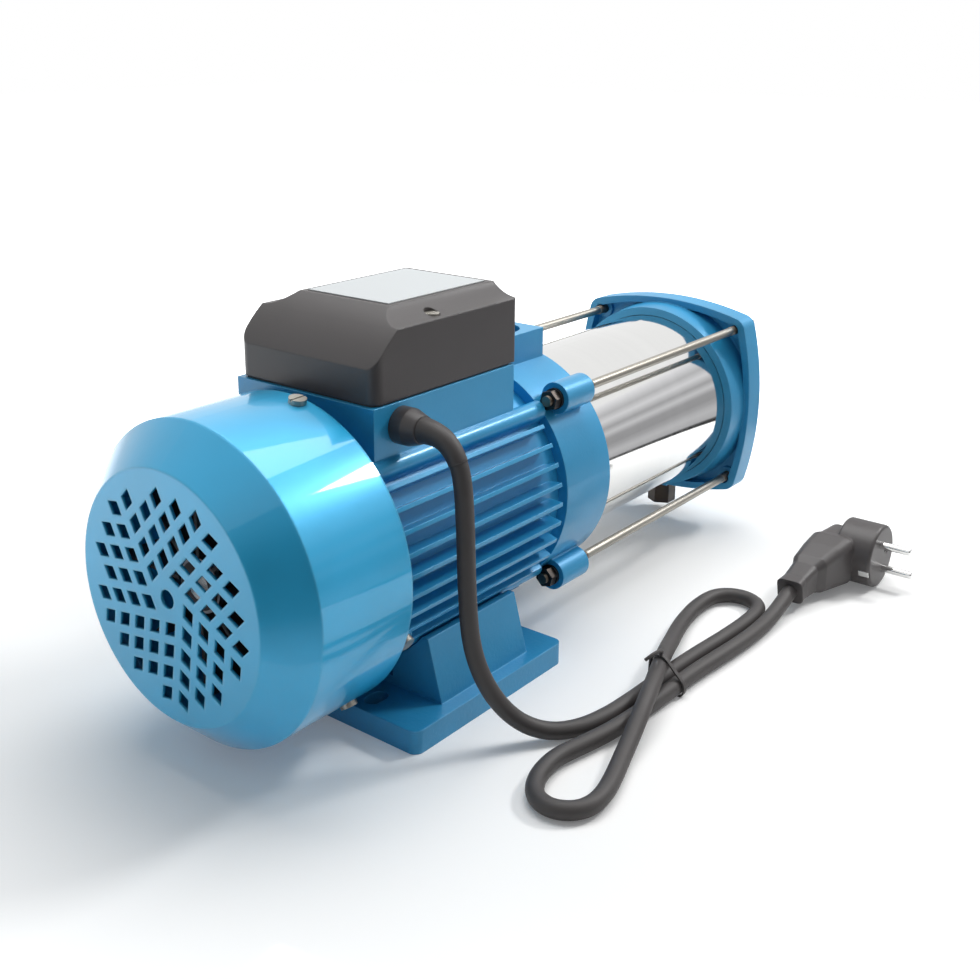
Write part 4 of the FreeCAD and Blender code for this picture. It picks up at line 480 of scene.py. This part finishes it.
# %% Stacked sheets
rusty, clean = (0.30, 0.27, 0.25), (0.44, 0.44, 0.46)
tree, shader = start_finish("laminated_steel", (0.40, 0.40, 0.42), roughness=0.45, metallic=1.0)
sheets = place_group(tree, ridges, Pitch=0.0005)
rust = place_group(tree, skin, Grains_per_metre=300.0, Patches_per_metre=60.0)
tree.links.new(mix_colours(tree, between(tree, rust.outputs["Tone"], 0.0, 1.0), rusty, clean),
               shader.inputs["Base Color"])
raise_relief(tree, shader, sheets.outputs["Height"], strength=0.5, depth=0.0001)
print("finish:", finishes["laminated_steel"].name)

# %% Varnished wire
# the grooves between the wires are painted darker than the wires: painted shade
shaded_grooves, on_wires = (0.22, 0.06, 0.02), (0.66, 0.28, 0.11)
tree, shader = start_finish("copper_windings", (0.60, 0.24, 0.09), roughness=0.30, metallic=0.7, coat=0.8)
wires = place_group(tree, streaks, Lines_per_metre=(60.0, 1100.0, 1100.0))
tree.links.new(mix_colours(tree, between(tree, wires.outputs["Height"], 0.0, 1.0), shaded_grooves, on_wires),
               shader.inputs["Base Color"])
raise_relief(tree, shader, wires.outputs["Height"], strength=0.8, depth=0.0004)
print("finish:", finishes["copper_windings"].name)

# %% [markdown]
# ### Plastic, rubber and the plain plate
# The terminal cover is moulded in black plastic with a fine spark texture, which gives a broad soft
# sheen. The cord's rubber is a little darker and duller. The rating plate is bare: a pale painted sheet
# with nothing on it, and almost no shine, so that it doesn't mirror the lamps.

# %% Moulded finishes
moulded_highlight_share = 0.5                # of the painted highlight's colour, right on an edge
moulded_highlight_gain = 1.5                 # how much lighter that colour is


def moulded(slot, colour, roughness, grains, depth, radius=0.0005, shine=0.5, paler=1.18):
    """Plastic, rubber or ceramic. Paler is how much lighter its patches get."""
    tree, shader = start_finish(slot, colour, roughness, shine=shine)
    edges = place_group(tree, soft_edges, Radius=radius)
    surface = place_group(tree, skin, Grains_per_metre=grains, Patches_per_metre=22.0)
    pale = tuple(min(paler * c, 1.0) for c in colour)
    tone = mix_colours(tree, between(tree, surface.outputs["Tone"], 0.0, 1.0), colour, pale)
    # each edge is painted lighter: a painted highlight
    highlight_rim = maths(tree, "MULTIPLY", edges.outputs["Edge"], moulded_highlight_share)
    moulded_highlight = tuple(min(moulded_highlight_gain * c, 1.0) for c in colour)
    tree.links.new(mix_colours(tree, highlight_rim, tone, moulded_highlight), shader.inputs["Base Color"])
    smoother, rougher = roughness - 0.04, roughness + 0.06
    tree.links.new(between(tree, surface.outputs["Tone"], smoother, rougher), shader.inputs["Roughness"])
    raise_relief(tree, shader, surface.outputs["Height"], strength=0.45, depth=depth,
                 normal=edges.outputs["Normal"])


moulded("black_plastic", (0.060, 0.054, 0.054), roughness=0.40, grains=1500.0, depth=0.00010, radius=0.0012)
moulded("black_rubber", (0.048, 0.043, 0.042), roughness=0.56, grains=1100.0, depth=0.00008)
moulded("pale_plastic", (0.80, 0.79, 0.74), roughness=0.38, grains=900.0, depth=0.00004, paler=1.04)
moulded("dark_plastic", (0.10, 0.10, 0.11), roughness=0.42, grains=900.0, depth=0.00006)
moulded("seal_ring", (0.80, 0.78, 0.73), roughness=0.22, grains=700.0, depth=0.00002, paler=1.04)
moulded("bare_plate", (0.62, 0.65, 0.66), roughness=0.45, grains=500.0, depth=0.00002, shine=0.15,
        paler=1.03)
print("finishes in all:", len(finishes))

# %% [markdown]
# ## Dressing the pieces
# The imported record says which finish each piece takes. Every piece gets it through its material slots,
# and its mesh stays as it came.

# %% Put the finishes on
record = frame["record"]
for part in record["subparts"]:
    piece = nodes[part["node"]]
    piece.data.materials.clear()
    piece.data.materials.append(finishes[part["material_slot"]])
for piece in (cord, strain_relief):
    piece.data.materials.append(finishes["black_rubber"])
print("dressed:", len(record["subparts"]), "pieces")

# %% [markdown]
# ## The studio
# The pump stands on white paper. A large soft lamp hangs overhead and a smaller one stands on the far
# side, which draws the bright patch on the cowl and lets the shadow fall towards the camera.
# The paper glows a little for the camera and in reflections. The glow is weak under the pump, where the
# shadow lies, and full further out, where the paper has to be as white as the room.

# %% Floor
floor_mesh = bpy.data.meshes.new("paper_sweep")
floor_shape = bmesh.new()
bmesh.ops.create_grid(floor_shape, x_segments=2, y_segments=2, size=6.0)
floor_shape.to_mesh(floor_mesh)
floor_shape.free()
floor = bpy.data.objects.new("paper_sweep", floor_mesh)
floor.location.x = 0.06         # the shadow's middle, which the paper's glow is measured from
bpy.context.scene.collection.objects.link(floor)
print("floor ready:", floor.name)

# %% Paper
paper = bpy.data.materials.new("white_paper")
paper.use_nodes = True
tree = paper.node_tree
shader = tree.nodes["Principled BSDF"]
shader.inputs["Base Color"].default_value = (0.90, 0.90, 0.89, 1.0)
shader.inputs["Roughness"].default_value = 1.0
shader.inputs["Specular IOR Level"].default_value = 0.0
paths = node(tree, "ShaderNodeLightPath")
seen = maths(tree, "MAXIMUM", paths.outputs["Is Camera Ray"], paths.outputs["Is Glossy Ray"])
place = node(tree, "ShaderNodeTexCoord")
distance = node(tree, "ShaderNodeVectorMath", operation="LENGTH")
tree.links.new(place.outputs["Object"], distance.inputs[0])
fade = node(tree, "ShaderNodeMapRange", interpolation_type="SMOOTHSTEP")
fade.inputs["From Min"].default_value = 0.22
fade.inputs["From Max"].default_value = 0.65
fade.inputs["To Min"].default_value = 0.12
fade.inputs["To Max"].default_value = 1.0
tree.links.new(distance.outputs["Value"], fade.inputs["Value"])
shader.inputs["Emission Color"].default_value = (0.97, 0.98, 1.0, 1.0)
tree.links.new(maths(tree, "MULTIPLY", seen, fade.outputs["Result"]), shader.inputs["Emission Strength"])
floor_mesh.materials.append(paper)
print("paper ready:", paper.name)

# %% [markdown]
# ### The room's light
# The world is plain white where the camera, a reflection or a view through something meets it. As a
# light it is much weaker, so that the lamps still make shadows.

# %% World
world = bpy.data.worlds.new("white_room")
bpy.context.scene.world = world
world.use_nodes = True
tree = world.node_tree
room_light = tree.nodes["Background"]
room_light.inputs["Color"].default_value = (0.96, 0.98, 1.0, 1.0)
room_light.inputs["Strength"].default_value = 0.26
white = node(tree, "ShaderNodeBackground")
white.inputs["Color"].default_value = (1.0, 1.0, 1.0, 1.0)
paths = node(tree, "ShaderNodeLightPath")
seen = maths(tree, "MAXIMUM", paths.outputs["Is Camera Ray"], paths.outputs["Is Glossy Ray"])
seen = maths(tree, "MAXIMUM", seen, paths.outputs["Is Transmission Ray"])
choose = node(tree, "ShaderNodeMixShader")
tree.links.new(seen, choose.inputs["Fac"])
tree.links.new(room_light.outputs["Background"], choose.inputs[1])
tree.links.new(white.outputs["Background"], choose.inputs[2])
tree.links.new(choose.outputs["Shader"], tree.nodes["World Output"].inputs["Surface"])
print("world ready")

# %% Lamps
def soft_lamp(name, place, target, width, depth, watts):
    """A rectangle of light that faces its target."""
    lamp = bpy.data.objects.new(name, bpy.data.lights.new(name, "AREA"))
    bpy.context.scene.collection.objects.link(lamp)
    lamp.data.shape = "RECTANGLE"
    lamp.data.size = width
    lamp.data.size_y = depth
    lamp.data.energy = watts
    lamp.location = place
    lamp.rotation_euler = (Vector(target) - Vector(place)).to_track_quat("-Z", "Y").to_euler()


soft_lamp("overhead", (0.35, 0.20, 1.50), (0.08, 0.0, 0.0), width=1.5, depth=1.0, watts=17.0)
soft_lamp("far_side", (1.10, -0.60, 1.10), (0.0, -0.02, 0.12), width=0.34, depth=0.24, watts=10.0)

# %% [markdown]
# ### The grey room
# A mirror shows what stands round it. In the photograph the steel sleeve carries a grey band, because
# beyond the paper the room is grey. A card that only reflections can see stands in for that room. It is
# dark along its near edge and paler with height, with two soft bands where windows would be. A second,
# darker card is the photographer's side. The gloss paint of the cowl's chamfer reflects it, and it also
# keeps some of the room's light off that side of the pump.

# %% Card shapes
card_middle = Vector((0.20, -0.05, 0.0))
card_lift = 0.001               # off the floor
card_steps = 24
card_coolness = 1.03            # blue over grey


def card_mesh(name, inner, reach, height, first, last):
    """A floor strip and the wall at its end, round the pump, between two bearings in degrees from +X."""
    shape = bmesh.new()
    rows = []
    for i in range(card_steps + 1):
        angle = math.radians(first + (last - first) * i / card_steps)
        way = Vector((math.cos(angle), math.sin(angle), 0.0))
        profile = ((inner, card_lift), (reach, card_lift), (reach, height))
        rows.append([shape.verts.new(card_middle + way * out + Vector((0.0, 0.0, up)))
                     for out, up in profile])
    for near, far in zip(rows, rows[1:]):
        for k in range(2):
            shape.faces.new((near[k], far[k], far[k + 1], near[k + 1]))
    mesh = bpy.data.meshes.new(name)
    shape.to_mesh(mesh)
    shape.free()
    return mesh


# %% Card tones
def card_glow(name, inner, length, tones):
    """A glow whose greys follow the way from the strip's inner edge to the wall's top."""
    felt = bpy.data.materials.new(name)
    felt.use_nodes = True
    tree = felt.node_tree
    place = node(tree, "ShaderNodeTexCoord")
    apart = node(tree, "ShaderNodeSeparateXYZ")
    tree.links.new(place.outputs["Object"], apart.inputs[0])
    flat = node(tree, "ShaderNodeVectorMath", operation="MULTIPLY_ADD")
    tree.links.new(place.outputs["Object"], flat.inputs[0])
    flat.inputs[1].default_value = (1.0, 1.0, 0.0)
    flat.inputs[2].default_value = (-card_middle.x, -card_middle.y, 0.0)
    outwards = node(tree, "ShaderNodeVectorMath", operation="LENGTH")
    tree.links.new(flat.outputs["Vector"], outwards.inputs[0])
    travel = maths(tree, "ADD", outwards.outputs["Value"], apart.outputs["Z"])
    share = maths(tree, "DIVIDE", maths(tree, "SUBTRACT", travel, inner), length)
    greys = node(tree, "ShaderNodeValToRGB")
    tree.links.new(share, greys.inputs["Fac"])
    for stop, grey in tones[1:-1]:
        greys.color_ramp.elements.new(stop)
    for element, (stop, grey) in zip(greys.color_ramp.elements, tones):
        element.position = stop
        element.color = (grey, grey, card_coolness * grey, 1.0)
    light = node(tree, "ShaderNodeEmission")
    tree.links.new(greys.outputs["Color"], light.inputs["Color"])
    tree.links.new(light.outputs["Emission"], tree.nodes["Material Output"].inputs["Surface"])
    return felt


def reflecting_card(name, inner, reach, height, first, last, tones):
    """A card that only reflections see. Each tone is a grey and, before it, its share of the way up."""
    mesh = card_mesh(name, inner, reach, height, first, last)
    mesh.materials.append(card_glow(name, inner, reach + height - inner, tones))
    card = bpy.data.objects.new(name, mesh)
    bpy.context.scene.collection.objects.link(card)
    card.visible_camera = False
    card.visible_diffuse = False
    card.visible_shadow = False
    card.visible_transmission = False
    return card


# %% Cards
room_tones = [(0.0, 0.03), (0.018, 0.04), (0.030, 0.50), (0.10, 0.58), (0.30, 0.43), (0.50, 0.40),
              (0.60, 0.36), (0.67, 0.38), (0.72, 0.68), (0.77, 0.42), (0.84, 0.80), (0.90, 0.55),
              (1.0, 0.96)]
grey_room = reflecting_card("grey_room", inner=0.30, reach=1.6, height=0.85, first=-95.0, last=20.0,
                            tones=room_tones)
shade_tones = [(0.0, 0.70), (0.05, 0.45), (0.10, 0.18), (0.50, 0.14), (0.80, 0.15), (1.0, 0.40)]
photographer = reflecting_card("photographer", inner=0.40, reach=1.6, height=1.1, first=-170.0, last=-95.0,
                               tones=shade_tones)
photographer.visible_diffuse = True
print("cards ready:", grey_room.name, photographer.name)

# %% [markdown]
# ## Last look
# The colours are shown through the standard view transform.

# %% View transform
bpy.context.scene.view_settings.view_transform = "Standard"
